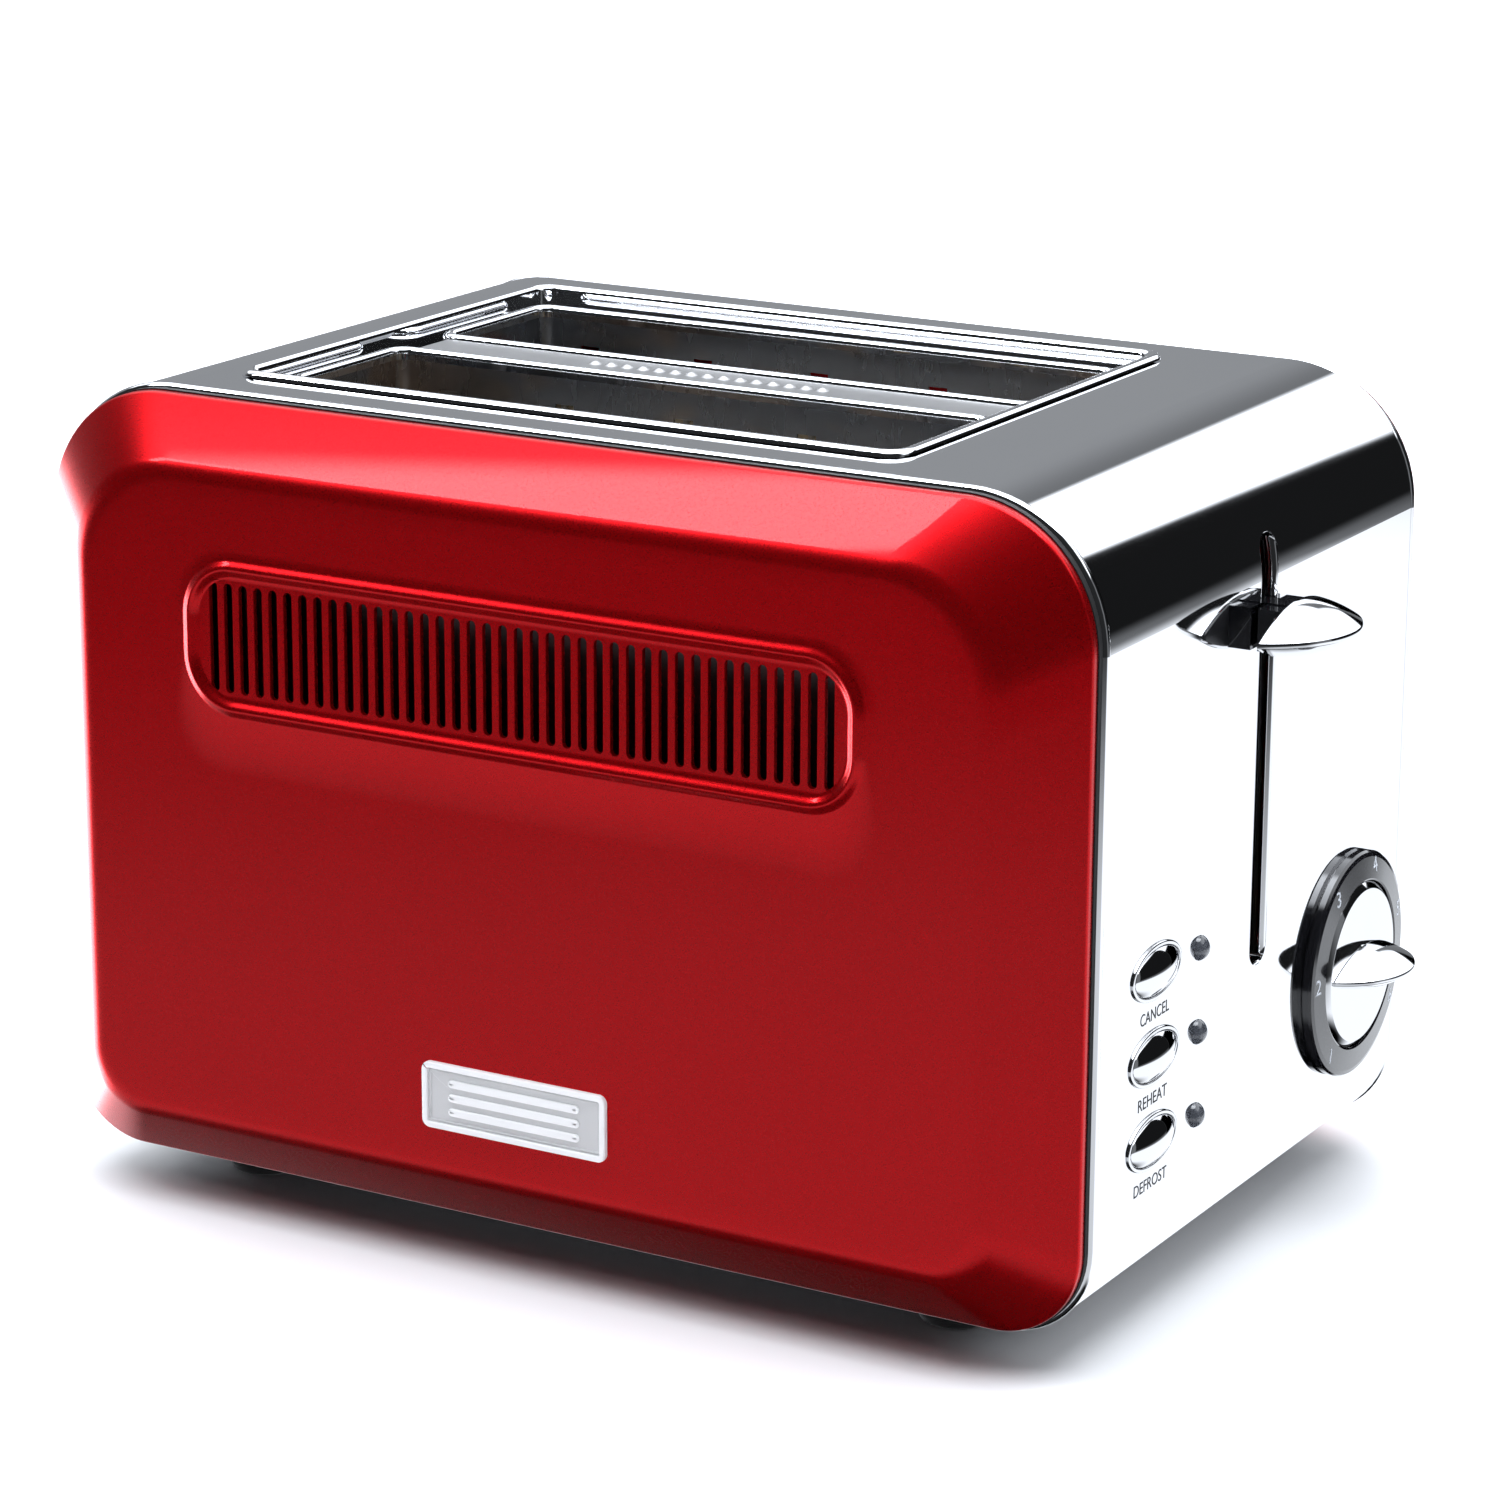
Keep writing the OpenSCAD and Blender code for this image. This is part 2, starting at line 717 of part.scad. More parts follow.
// Curved strip of the cover that the tray carries, with its finger grip
module tray_front() {
    color("silver") seat() difference() {
        union() {
            intersection() {
                along_y(-tray_y - 0.4, tray_y + 0.4) difference() {
                    band_outline(bead_proud);
                    band_outline(bead_proud + cover_t);
                }
                box(
                    -half_l, -half_l + 20, -tray_y - 0.4, tray_y + 0.4,
                    tray_front_z0, tray_front_z0 + tray_front_h
                );
            }
            box(-half_l - tray_grip + 2, tray_x0, -20, 20, tray_z + 4, tray_z + 6);
            bar_y(-half_l - tray_grip + 2, -20, 20, tray_z + 5, 1);
        }
        box(tray_x0, 0, -30, 30, 0, 40);
    }
}

// ---------------------------------------------------------------- cord entry

// Flanged gland through the cover's end, with a bore for the cord
module cord_gland() {
    color("#181818") seat() translate([-half_l, gland_y, gland_z]) rotate([0, 90, 0]) difference() {
        union() {
            translate([0, 0, -gland_out]) cylinder(r = gland_r - 0.6, h = gland_out + 12);
            translate([0, 0, bead_proud - 1.8]) cylinder(r = gland_r + 1.8, h = 1.8);
            translate([0, 0, bead_proud - eps]) cylinder(r = gland_r, h = cover_t + 4);
            translate([0, 0, bead_proud + cover_t]) cylinder(r = gland_r + 2, h = 3, $fn = 6);
        }
        translate([0, 0, -gland_out - 1]) cylinder(r = cord_r, h = gland_out + 20);
    }
}

// Terminal block on the outside of the left end plate
module terminal_block() {
    color("ivory") seat() difference() {
        box(
            block_x, block_x + block_t, slot_y - block_w / 2, slot_y + block_w / 2,
            gland_z - block_h / 2, gland_z + block_h / 2
        );
        for (s = [-1, 1]) {
            bar_x(block_x - 1, block_x + 9, slot_y + 4 * s, gland_z, 2.1);
            bar_z(block_x + block_t / 2, slot_y + 4 * s, gland_z, gland_z + block_h, 1.8);
        }
    }
}

// Two insulated leads from the terminal block round the chamber to the dial's board
module supply_leads() {
    lead_r = 1.2;
    turn_x = block_x - 6;
    color("sienna") seat() for (s = [-1, 1]) {
        y = plate_y + 3.75 + 1.75 * s;
        x = turn_x - 2 * s;
        bar_x(x, block_x + 8, slot_y + 4 * s, gland_z, lead_r);
        bar_y(x, slot_y + 4 * s, y, gland_z, lead_r);
        bar_x(x, board_x, y, gland_z, lead_r);
        for (corner = [slot_y + 4 * s, y]) translate([x, corner, gland_z]) sphere(lead_r);
    }
}

// ---------------------------------------------------------------- chamber

module card_slots(x0, x1) {
    for (s = [-1, 1], y = [card_in_y, card_out_y], z = tab_z)
        box(
            x0, x1, s * y - card_t / 2 - fit_gap, s * y + card_t / 2 + fit_gap,
            z - fit_gap, z + tab_h + fit_gap
        );
}

// Slots that the ends of the bread guides slide in
module guide_slots(x0, x1) {
    gap = guide_bar_r + 0.4;
    for (s = [-1, 1], side = [-1, 1], z = [guide_z0, guide_z1]) {
        near = s * slot_y + side * (guide_off - guide_in);
        far = s * slot_y + side * (guide_off + guide_out);
        box(x0, x1, min(near, far) - gap, max(near, far) + gap, z - gap, z + gap);
    }
}

module end_plate(x0, x1, flange_dir) {
    flange_x = flange_dir < 0 ? x0 - 11 : x1;
    difference() {
        union() {
            box(x0, x1, -plate_y, plate_y, base_top, plate_top);
            for (s = [-1, 1])
                translate([0, s * (flange_y + plate_y) / 2, 0]) box(
                    flange_x - eps, flange_x + 11 + eps, (flange_y - plate_y) / 2, (plate_y - flange_y) / 2,
                    base_top, base_top + plate_t
                );
        }
        card_slots(x0 - 1, x1 + 1);
        guide_slots(x0 - 1, x1 + 1);
        for (s = [-1, 1], y = [card_in_y + 4, card_out_y - 4], z = [90, 112])
            bar_x(x0 - 1, x1 + 1, s * (y + (y > slot_y ? -2 : 2)), z, 1.2);
    }
}

module end_plate_left() {
    x = plate_x0 - plate_t;
    color("lightsteelblue") seat() difference() {
        end_plate(x, plate_x0, -1);
        box(
            x - 1, plate_x0 + 1, -tray_y - 0.8, tray_y + 0.8,
            base_top - 1, tray_z + tray_h + 1
        );
        for (s = [-1, 1])
            bar_z(plate_screw_x[0], s * plate_screw_y, base_top - 1, base_top + 2, screw_r + fit_gap);
    }
}

module end_plate_right() {
    x = plate_x1 + plate_t;
    color("lightsteelblue") seat() difference() {
        end_plate(plate_x1, x, 1);
        for (s = [-1, 1]) {
            box(
                plate_x1 - 1, x + 1, s * slot_y - rest_t / 2 - 0.8, s * slot_y + rest_t / 2 + 0.8,
                rest_z - rest_h - lever_down - 1.5, rest_z + lever_up + 1.5
            );
            bar_z(plate_screw_x[1], s * plate_screw_y, base_top - 1, base_top + 2, screw_r + fit_gap);
        }
    }
}

module reflector() {
    y0 = reflector_y;
    box(plate_x0, plate_x1, y0, y0 + reflector_t, card_z0 - 10, plate_top);
    for (z = [card_z0 - 10, plate_top - reflector_t])
        box(plate_x0, plate_x1, y0 - 2.5, y0 + eps, z, z + reflector_t);
}

module reflector_front() {
    color("lightgray") seat() mirror([0, 1, 0]) reflector();
}

module reflector_rear() {
    color("lightgray") seat() reflector();
}

// Mica card with tabs in the end plates and windows that the ribbon passes through
module heater_card(y) {
    color("burlywood") seat() difference() {
        union() {
            box(plate_x0 + 0.2, plate_x1 - 0.2, y - card_t / 2, y + card_t / 2, card_z0, card_z1);
            for (z = tab_z)
                box(
                    plate_x0 - plate_t - 2, plate_x1 + plate_t + 2,
                    y - card_t / 2, y + card_t / 2,
                    z, z + tab_h
                );
        }
        for (i = [0 : turn_count - 1], x = [ribbon_x0 - 1, ribbon_x1 - 1])
            box(x, x + 2, y - 2, y + 2, turn_z0 + i * turn_pitch - 1.5, turn_z0 + i * turn_pitch + 1.5);
    }
}

// Flat ribbon wound through the card; the back strip joins the turns
module heater_ribbon(y, back) {
    out = card_t / 2 + run_gap;
    color("orange") seat() {
        for (i = [0 : turn_count - 1]) {
            z = turn_z0 + i * turn_pitch;
            difference() {
                box(
                    ribbon_x0 - ribbon_t / 2, ribbon_x1 + ribbon_t / 2,
                    y - out - ribbon_t, y + out + ribbon_t,
                    z - ribbon_w / 2, z + ribbon_w / 2
                );
                box(ribbon_x0 + ribbon_t / 2, ribbon_x1 - ribbon_t / 2, y - out, y + out, z - 3, z + 3);
            }
        }
        box(
            slot_shift - 2, slot_shift + 2, y + back * (out + ribbon_t / 2) - ribbon_t / 2,
            y + back * (out + ribbon_t / 2) + ribbon_t / 2, turn_z0, turn_z0 + (turn_count - 1) * turn_pitch
        );
    }
}

module heater_card_1() {
    heater_card(-card_out_y);
}

module heater_card_2() {
    heater_card(-card_in_y);
}

module heater_card_3() {
    heater_card(card_in_y);
}

module heater_card_4() {
    heater_card(card_out_y);
}

module heater_ribbon_1() {
    heater_ribbon(-card_out_y, -1);
}

module heater_ribbon_2() {
    heater_ribbon(-card_in_y, 1);
}

module heater_ribbon_3() {
    heater_ribbon(card_in_y, -1);
}

module heater_ribbon_4() {
    heater_ribbon(card_out_y, 1);
}

// Wire cage that centres the bread; its top and bottom bars slide in the end plates
module guide(y) {
    first = slot_x0 + 8;
    step = (slot_l - 16) / (guide_wires - 1);
    color("whitesmoke") seat() {
        for (z = [guide_z0, guide_z1])
            bar_x(plate_x0 - plate_t - 2, plate_x1 + plate_t + 2, y, z, guide_bar_r);
        for (i = [0 : guide_wires - 1])
            bar_z(first + i * step, y, guide_z0, guide_z1, guide_r);
    }
}

module guide_1() {
    guide(-slot_y - guide_off);
}

module guide_2() {
    guide(-slot_y + guide_off);
}

module guide_3() {
    guide(slot_y - guide_off);
}

module guide_4() {
    guide(slot_y + guide_off);
}

// ---------------------------------------------------------------- lift mechanism

module top_bracket() {
    x0 = plate_x1 + plate_t;
    x1 = rod_x + 12;
    color("lightsteelblue") seat() difference() {
        union() {
            box(x0, x0 + carriage_t, -bracket_y, bracket_y, bracket_z - 10, bracket_z);
            box(x0, x1, -bracket_y, spring_y + 5, bracket_z - carriage_t, bracket_z);
        }
        bar_z(rod_x, 0, bracket_z - 3, bracket_z + 1, rod_r + rod_press);
        bar_z(spring_x, spring_y, bracket_z - 3, bracket_z + 1, 1.2);
    }
}

module guide_rod() {
    color("gainsboro") seat() bar_z(rod_x, 0, base_top, bracket_z + 2, rod_r);
}

module carriage() {
    x = carriage_x;
    color("slategray") seat() difference() {
        union() {
            box(x, x + carriage_t, -slot_y - 5, slot_y + 5, wing_z0, wing_z1);
            box(x, x + carriage_t, -7, 7, wing_z1 - eps, lever_z + stem_h / 2);
            bar_z(rod_x, 0, wing_z0, lever_z + stem_h / 2, bush_r);
            box(
                rod_x, stem_x0 + 12, -tongue_t / 2, tongue_t / 2,
                lever_z - tongue_h / 2, lever_z + tongue_h / 2
            );
            box(
                x, spring_x + 3, spring_y - 3, spring_y + 3,
                spring_tab_z - carriage_t, spring_tab_z
            );
        }
        bar_z(rod_x, 0, wing_z0 - 1, lever_z + stem_h, rod_r + run_gap);
        bar_z(spring_x, spring_y, spring_tab_z - 3, spring_tab_z + 1, 1.2);
    }
}

// Arm through the end plate with cross wires that the slice stands on
module bread_rest(y) {
    color("gainsboro") seat() {
        box(arm_x0, carriage_x, y - rest_t / 2, y + rest_t / 2, rest_z - rest_h, rest_z - 1);
        for (i = [0 : 6]) bar_y(arm_x0 + 8 + i * 22, y - 6, y + 6, rest_z - 1, 1);
    }
}

module bread_rest_front() {
    bread_rest(-slot_y);
}

module bread_rest_rear() {
    bread_rest(slot_y);
}

// Steel plate that the magnet holds while the bread toasts
module latch_plate() {
    x = carriage_x + carriage_t;
    color("lightslategray") seat() box(
        x, core_x0 + 2 * core_leg + core_gap + 1, latch_y - latch_w / 2, latch_y + latch_w / 2,
        latch_z, latch_z + latch_t
    );
}

// Points of one ring of the spring's wire
function spring_ring(k) = let (
    a = 360 * k / spring_steps,
    c = [spring_r * cos(a), spring_r * sin(a), spring_wire + spring_lift * k / spring_rings]
) [
    for (j = [0 : spring_sides - 1]) let (b = 360 * j / spring_sides)
        c + spring_wire * [cos(b) * cos(a), cos(b) * sin(a), sin(b)]
];

module lift_spring() {
    n = spring_sides;
    points = [for (k = [0 : spring_rings]) each spring_ring(k)];
    walls = [
        for (k = [0 : spring_rings - 1], j = [0 : n - 1])
            [k * n + j, (k + 1) * n + j, (k + 1) * n + (j + 1) % n, k * n + (j + 1) % n]
    ];
    start = [for (j = [0 : n - 1]) j];
    end = [for (j = [n - 1 : -1 : 0]) spring_rings * n + j];
    color("lightgray") seat() translate([spring_x, spring_y, spring_tab_z])
        polyhedron(points, concat([start], walls, [end]));
}

// Black lever arm: through the slot, with a wider neck behind the knob
module lever_stem() {
    color("#181818") seat() difference() {
        union() {
            box(
                stem_x0, face_x + knob_back, -stem_t / 2, stem_t / 2,
                lever_z - stem_h / 2, lever_z + stem_h / 2
            );
            box(
                face_x + neck_in, face_x + knob_back, -neck_y, neck_y,
                lever_z - stem_h / 2 + 0.3, lever_z + stem_h / 2 - 0.3
            );
        }
        box(
            stem_x0 - 1, stem_x0 + 12.3, -tongue_t / 2 - run_gap, tongue_t / 2 + run_gap,
            lever_z - tongue_h / 2 - run_gap, lever_z + tongue_h / 2 + run_gap
        );
    }
}

// Segment of a round lens: out along +X, flat face at X = 0, its widest and thickest there
module lens_segment(out, side, up, rim) {
    outline_r = (side * side + out * out) / (2 * out);
    cap = up - rim / 2;
    drop = (side * side - cap * cap) / (2 * cap);
    intersection() {
        translate([out - outline_r, 0, 0]) rotate_extrude() {
            translate([0, -rim / 2]) square([outline_r, rim]);
            for (s = [0, 1]) mirror([0, s]) intersection() {
                translate([0, rim / 2 - drop]) circle(norm([outline_r, drop]), $fn = 256);
                translate([0, rim / 2 - eps]) square([outline_r, 2 * up]);
            }
        }
        box(0, out + 1, -side - 1, side + 1, -2 * up, 2 * up);
    }
}

module lever_knob() {
    color("silver") seat() translate([face_x + knob_back, 0, lever_z])
        lens_segment(knob_x + bead_proud, knob_y, knob_z, knob_rim);
}

// ---------------------------------------------------------------- magnet

module magnet_core() {
    x1 = core_x0 + 2 * core_leg + core_gap;
    color("dimgray") seat() {
        box(core_x0, x1, latch_y - 5, latch_y + 5, base_top, base_top + 6);
        for (x = [core_x0, x1 - core_leg])
            box(x, x + core_leg, latch_y - 5, latch_y + 5, base_top + 6 - eps, core_top);
    }
}

module magnet_coil() {
    x0 = core_x0 + core_leg + core_gap;
    z0 = base_top + 7;
    z1 = core_top - 2;
    gap = 0.3;
    color("peru") seat() difference() {
        union() {
            for (z = [z0, z1 - 1.2])
                box(x0 - 3.4, x0 + core_leg + 3.4, latch_y - 9, latch_y + 9, z, z + 1.2);
            box(x0 - 2.6, x0 + core_leg + 2.6, latch_y - 8, latch_y + 8, z0, z1);
        }
        box(x0 - gap, x0 + core_leg + gap, latch_y - 5 - gap, latch_y + 5 + gap, z0 - 1, z1 + 1);
    }
}

// ---------------------------------------------------------------- buttons and lamps

module button_board() {
    color("seagreen") seat() difference() {
        box(board_x, board_x + board_t, -button_y - 16, -lamp_y + 12, board_foot, button_height(2) + 12);
        for (z = [button_height(0) + 9.5, button_height(1) + 9.5])
            bar_x(board_x - 1, board_x + board_t + 1, -lamp_y + 8, z, 1.6);
    }
}

module button_switches() {
    x = board_x + board_t;
    color("#282828") seat() for (i = [0 : 2]) {
        box(x, x + switch_t, -button_y - 3, -button_y + 3, button_height(i) - 3, button_height(i) + 3);
        bar_x(x + switch_t - eps, x + switch_t + plunger_h, -button_y, button_height(i), 1.6);
    }
}

module button_bezels() {
    a = button_a + button_gap;
    b = button_b + button_gap;
    color("silver") seat() for (i = [0 : 2]) difference() {
        union() {
            oval_x(
                face_x - collar_in, face_x + 0.4, -button_y, button_height(i),
                a + bezel_wall, b + bezel_wall
            );
            oval_x(
                face_x, face_x + 0.5, -button_y, button_height(i),
                a + bezel_wall + bezel_lip, b + bezel_wall + bezel_lip
            );
        }
        oval_x(face_x - collar_in - 1, face_x + 2, -button_y, button_height(i), a, b);
    }
}

// Profile of a pin with a domed end, X the radius and Y along the pin
module domed_pin(r, back, front, dome) {
    ball = (r * r + dome * dome) / (2 * dome);
    translate([0, back]) square([r, front - back]);
    intersection() {
        translate([0, front + dome - ball]) circle(ball);
        translate([0, front - eps]) square([r, dome + 1]);
    }
}

function crown_r(half, rise) = (half * half + rise * rise) / (2 * rise);

// Oval domed button with a collar behind the bezel and a stem towards its switch
module button(i) {
    back = face_x - collar_in - 1.3;
    front = face_x + 0.4;
    r_z = crown_r(button_b, button_dome);
    r_y = crown_r(button_a, button_dome);
    color("silver") seat() translate([0, -button_y, button_height(i)]) {
        oval_x(back, front, 0, 0, button_a, button_b);
        oval_x(back, back + 1, 0, 0, button_a + 1, button_b + 1);
        intersection() {
            oval_x(front - 1, front + button_dome + 1, 0, 0, button_a, button_b);
            translate([front + button_dome - r_z, 0, 0]) rotate([90, 0, 0])
                cylinder(r = r_z, h = 3 * button_a, center = true);
            translate([front + button_dome - r_y, 0, 0]) cylinder(r = r_y, h = 3 * button_b, center = true);
        }
        bar_x(board_x + board_t + switch_t + plunger_h + button_travel + 0.3, back + eps, 0, 0, 2.5);
    }
}

module button_upper() {
    button(2);
}

module button_middle() {
    button(1);
}

module button_lower() {
    button(0);
}

module lamp_lenses() {
    color("#505560") seat() for (i = [0 : 2])
        translate([0, -lamp_y, button_height(i) - 1]) rotate([0, 90, 0]) rotate_extrude() {
            domed_pin(lamp_r, face_x, face_x + 0.2, lamp_dome);
            translate([0, board_x + board_t]) square([lamp_r - 0.5, face_x - board_x - board_t + 0.1]);
        }
}

// ---------------------------------------------------------------- browning dial

module dial_board() {
    x = board_x + board_t;
    color("seagreen") seat() difference() {
        union() {
            box(board_x, x, dial_y - 22, dial_y + 22, board_foot, dial_z + 18);
            bar_x(x - eps, x + pot_h, dial_y, dial_z, pot_r);
            bar_x(x, x + pot_h + 3, dial_y, dial_z, shaft_r + 1.2);
        }
        bar_x(x + 1, x + pot_h + 4, dial_y, dial_z, shaft_r + run_gap);
    }
}

module dial_shaft() {
    x = board_x + board_t;
    color("gainsboro") seat() bar_x(x + 1.2, face_x + disc_out - 1, dial_y, dial_z, shaft_r);
}

// Fixed ring that carries the browning scale
module dial_ring() {
    inner = knob_r + 0.3;
    color("#151515") seat() translate([face_x, dial_y, dial_z]) rotate([0, 90, 0]) rotate_extrude() polygon([
        [inner, 0], [ring_r - 0.5, 0], [ring_r, 0.6], [ring_r, 2],
        [ring_r - 0.4, 2.6], [ring_r - 1.4, 2.9], [inner + 0.4, 3.5], [inner, 3.3]
    ]);
}

module dial_knob() {
    color("silver") seat() translate([face_x, dial_y, dial_z]) difference() {
        union() {
            rotate([0, 90, 0]) rotate_extrude() polygon([
                [0, 0.6], [knob_r, 0.6], [knob_r, disc_out - 1], [knob_r - 1, disc_out], [0, disc_out]
            ]);
            translate([disc_out - eps, 0, 0]) lens_segment(wing_x, wing_y, wing_z, 0.9);
        }
        bar_x(-1, disc_out - 1 + run_gap, 0, 0, shaft_r + 0.02);
    }
}

// ---------------------------------------------------------------- pieces

front_panel();
rear_panel();
front_gasket();
rear_gasket();
wrap_cover();
slot_surround();
divider_bar();
throat_front();
throat_rear();
badge();
badge_inlay();
base_plate();
foot_front_left();
foot_front_right();
foot_rear_left();
foot_rear_right();
screws();
crumb_tray();
tray_front();
cord_gland();
terminal_block();
supply_leads();
end_plate_left();
end_plate_right();
reflector_front();
reflector_rear();
heater_card_1();
heater_card_2();
heater_card_3();
heater_card_4();
heater_ribbon_1();
heater_ribbon_2();
heater_ribbon_3();
heater_ribbon_4();
guide_1();
guide_2();
guide_3();
guide_4();
top_bracket();
guide_rod();
carriage();
bread_rest_front();
bread_rest_rear();
latch_plate();
lift_spring();
lever_stem();
lever_knob();
magnet_core();
magnet_coil();
button_board();
button_switches();
button_bezels();
button_upper();
button_middle();
button_lower();
lamp_lenses();
dial_board();
dial_ring();
dial_shaft();
dial_knob();
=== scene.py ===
"""Looks of the pop-up toaster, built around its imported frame. Metres, the frame's own axes:
+X is the end with the lever, buttons and dial, -Y the front panel, +Z up."""

import json
import math

import bmesh
import bpy
import numpy as np
from mathutils import Matrix, Vector


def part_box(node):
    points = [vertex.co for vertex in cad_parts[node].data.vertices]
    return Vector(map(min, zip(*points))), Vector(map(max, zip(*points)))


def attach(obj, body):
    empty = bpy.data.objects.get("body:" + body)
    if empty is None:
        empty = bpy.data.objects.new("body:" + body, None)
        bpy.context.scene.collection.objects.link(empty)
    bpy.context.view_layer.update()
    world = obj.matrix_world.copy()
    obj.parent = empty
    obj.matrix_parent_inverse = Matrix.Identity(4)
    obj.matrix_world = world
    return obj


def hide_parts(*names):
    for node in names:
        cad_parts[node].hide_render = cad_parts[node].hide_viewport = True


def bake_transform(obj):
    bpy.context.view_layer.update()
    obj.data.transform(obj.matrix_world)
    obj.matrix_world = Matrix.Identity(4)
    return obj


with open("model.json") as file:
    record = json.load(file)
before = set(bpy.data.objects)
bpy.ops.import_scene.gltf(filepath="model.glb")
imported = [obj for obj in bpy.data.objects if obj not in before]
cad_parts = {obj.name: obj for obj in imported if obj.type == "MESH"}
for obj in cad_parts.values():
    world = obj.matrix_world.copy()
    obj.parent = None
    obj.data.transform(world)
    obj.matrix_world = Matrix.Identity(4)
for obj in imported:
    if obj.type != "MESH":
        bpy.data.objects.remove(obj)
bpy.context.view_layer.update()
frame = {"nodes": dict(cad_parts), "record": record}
NODES = frame["nodes"]
mm = 0.001

# ------------------------------------------------------------------ places read from the frame

panel_low, panel_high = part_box("front_panel")
badge_low, badge_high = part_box("badge")
bar_low, bar_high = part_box("divider_bar")
knob_low, knob_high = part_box("lever_knob")
ring_low, ring_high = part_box("dial_ring")
dial_low, dial_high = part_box("dial_knob")
stem_low, stem_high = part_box("lever_stem")
spring_low, spring_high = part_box("lift_spring")

shell_x = (panel_low.x + panel_high.x) / 2
shell_length = panel_high.x - panel_low.x
shell_bottom = panel_low.z
shell_top = panel_high.z
end_x = ring_low.x
bar_y = (bar_low.y + bar_high.y) / 2
dial_y = (ring_low.y + ring_high.y) / 2
dial_z = (ring_low.z + ring_high.z) / 2
lever_z = (knob_low.z + knob_high.z) / 2
dial_centre = (end_x, dial_y, dial_z)

# Plated cover: it stands past the panels' rims, less the bead along its edges
panel_inset = 1.3 * mm
cover_bead = 0.3 * mm
cover_top = shell_top + panel_inset - cover_bead
cover_corner = 31.7 * mm

# Pressed panel
bead_proud = 1.2 * mm
face_out = -panel_low.y - bead_proud + panel_high.y
rim_y = -panel_high.y
sheet = 1.2 * mm
corner_top = 30.7 * mm
corner_bottom = 20.2 * mm
face_corner_top = 25 * mm
face_corner_bottom = 13.7 * mm
slope_end = 16.7 * mm
slope_edge = 13.9 * mm
rim_lip = 2.1 * mm
rear_lip = 1 * mm
vent_count = 40
vent_pitch = 4 * mm
vent_width = 2.25 * mm
vent_height = 25 * mm
vent_z = 138.2 * mm
vent_margin = 0.6 * mm
bead_width = 4.7 * mm
bead_corner = 14 * mm
bead_reach = (vent_count - 1) * vent_pitch / 2 + 8.65 * mm
bead_rise = vent_height / 2 + 5.9 * mm


# ------------------------------------------------------------------ surfaces

def grid_faces(rows, columns, closed_rows=False, closed_columns=False, start=0):
    """Quads between neighbouring points of a rows x columns grid, as an array of four indices each.
    A closed direction also joins its last line to its first."""
    r = np.arange(rows if closed_rows else rows - 1)[:, None]
    c = np.arange(columns if closed_columns else columns - 1)[None, :]
    r2, c2 = (r + 1) % rows, (c + 1) % columns
    corners = [r * columns + c, r * columns + c2, r2 * columns + c2, r2 * columns + c]
    return np.stack([k.ravel() for k in np.broadcast_arrays(*corners)], 1) + start


class Skin:
    """Gathers point grids into one mesh, welds what meets, and makes it a piece of the toaster."""

    def __init__(self):
        self.points = []
        self.faces = []
        self.count = 0

    def add(self, grid, closed_rows=False, closed_columns=False, flip=False):
        """Adds a grid of shape (rows, columns, 3)."""
        rows, columns = grid.shape[:2]
        faces = grid_faces(rows, columns, closed_rows, closed_columns, self.count)
        self.faces.append(faces[:, ::-1] if flip else faces)
        self.points.append(grid.reshape(-1, 3))
        self.count += rows * columns
        return self

    def piece(self, name, body, finish, slot, replaces=(), outward=True, weld=0.002 * mm):
        """The finished object: welded, smooth, with its faces turned outwards if it is closed."""
        points = np.concatenate(self.points)
        faces = np.concatenate(self.faces)
        mesh = bpy.data.meshes.new(name)
        mesh.from_pydata(points, [], faces)
        shape = bmesh.new()
        shape.from_mesh(mesh)
        bmesh.ops.remove_doubles(shape, verts=shape.verts, dist=weld)
        bmesh.ops.dissolve_degenerate(shape, edges=shape.edges, dist=weld / 10)
        if outward:
            bmesh.ops.recalc_face_normals(shape, faces=shape.faces)
        shape.to_mesh(mesh)
        shape.free()
        mesh.polygons.foreach_set("use_smooth", np.ones(len(mesh.polygons), bool))
        mesh.materials.append(finish)
        return place(bpy.data.objects.new(name, mesh), body, replaces)


def place(piece, body, replaces=()):
    """Links a piece, parents it to the empty of the body it rides on, if it is one body, and hides the
    frame's parts that it stands for.
    """
    if piece.name not in bpy.context.scene.collection.objects:
        bpy.context.scene.collection.objects.link(piece)
    if body:
        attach(piece, body)
    if replaces:
        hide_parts(*replaces)
    return piece


def softened(piece, width, segments=2, angle=40):
    """A small bevel on the piece's sharp edges."""
    bevel = piece.modifiers.new("edge", "BEVEL")
    bevel.width = width
    bevel.segments = segments
    bevel.limit_method = "ANGLE"
    bevel.angle_limit = math.radians(angle)
    bevel.harden_normals = True
    return piece


def arc(centre, radius, start, end, steps):
    """Points on a circle, from one angle to another in degrees, both ends included."""
    a = np.radians(np.linspace(start, end, steps + 1))
    return np.stack([centre[0] + radius * np.cos(a), centre[1] + radius * np.sin(a)], 1)


def line(start, end, steps):
    """Points on a straight line, both ends included."""
    t = np.linspace(0, 1, steps + 1)[:, None]
    return np.asarray(start) * (1 - t) + np.asarray(end) * t


def chain(*stretches):
    """Joins stretches of points end to end, without their doubled ends."""
    return np.concatenate([stretches[0]] + [s[1:] for s in stretches[1:]])


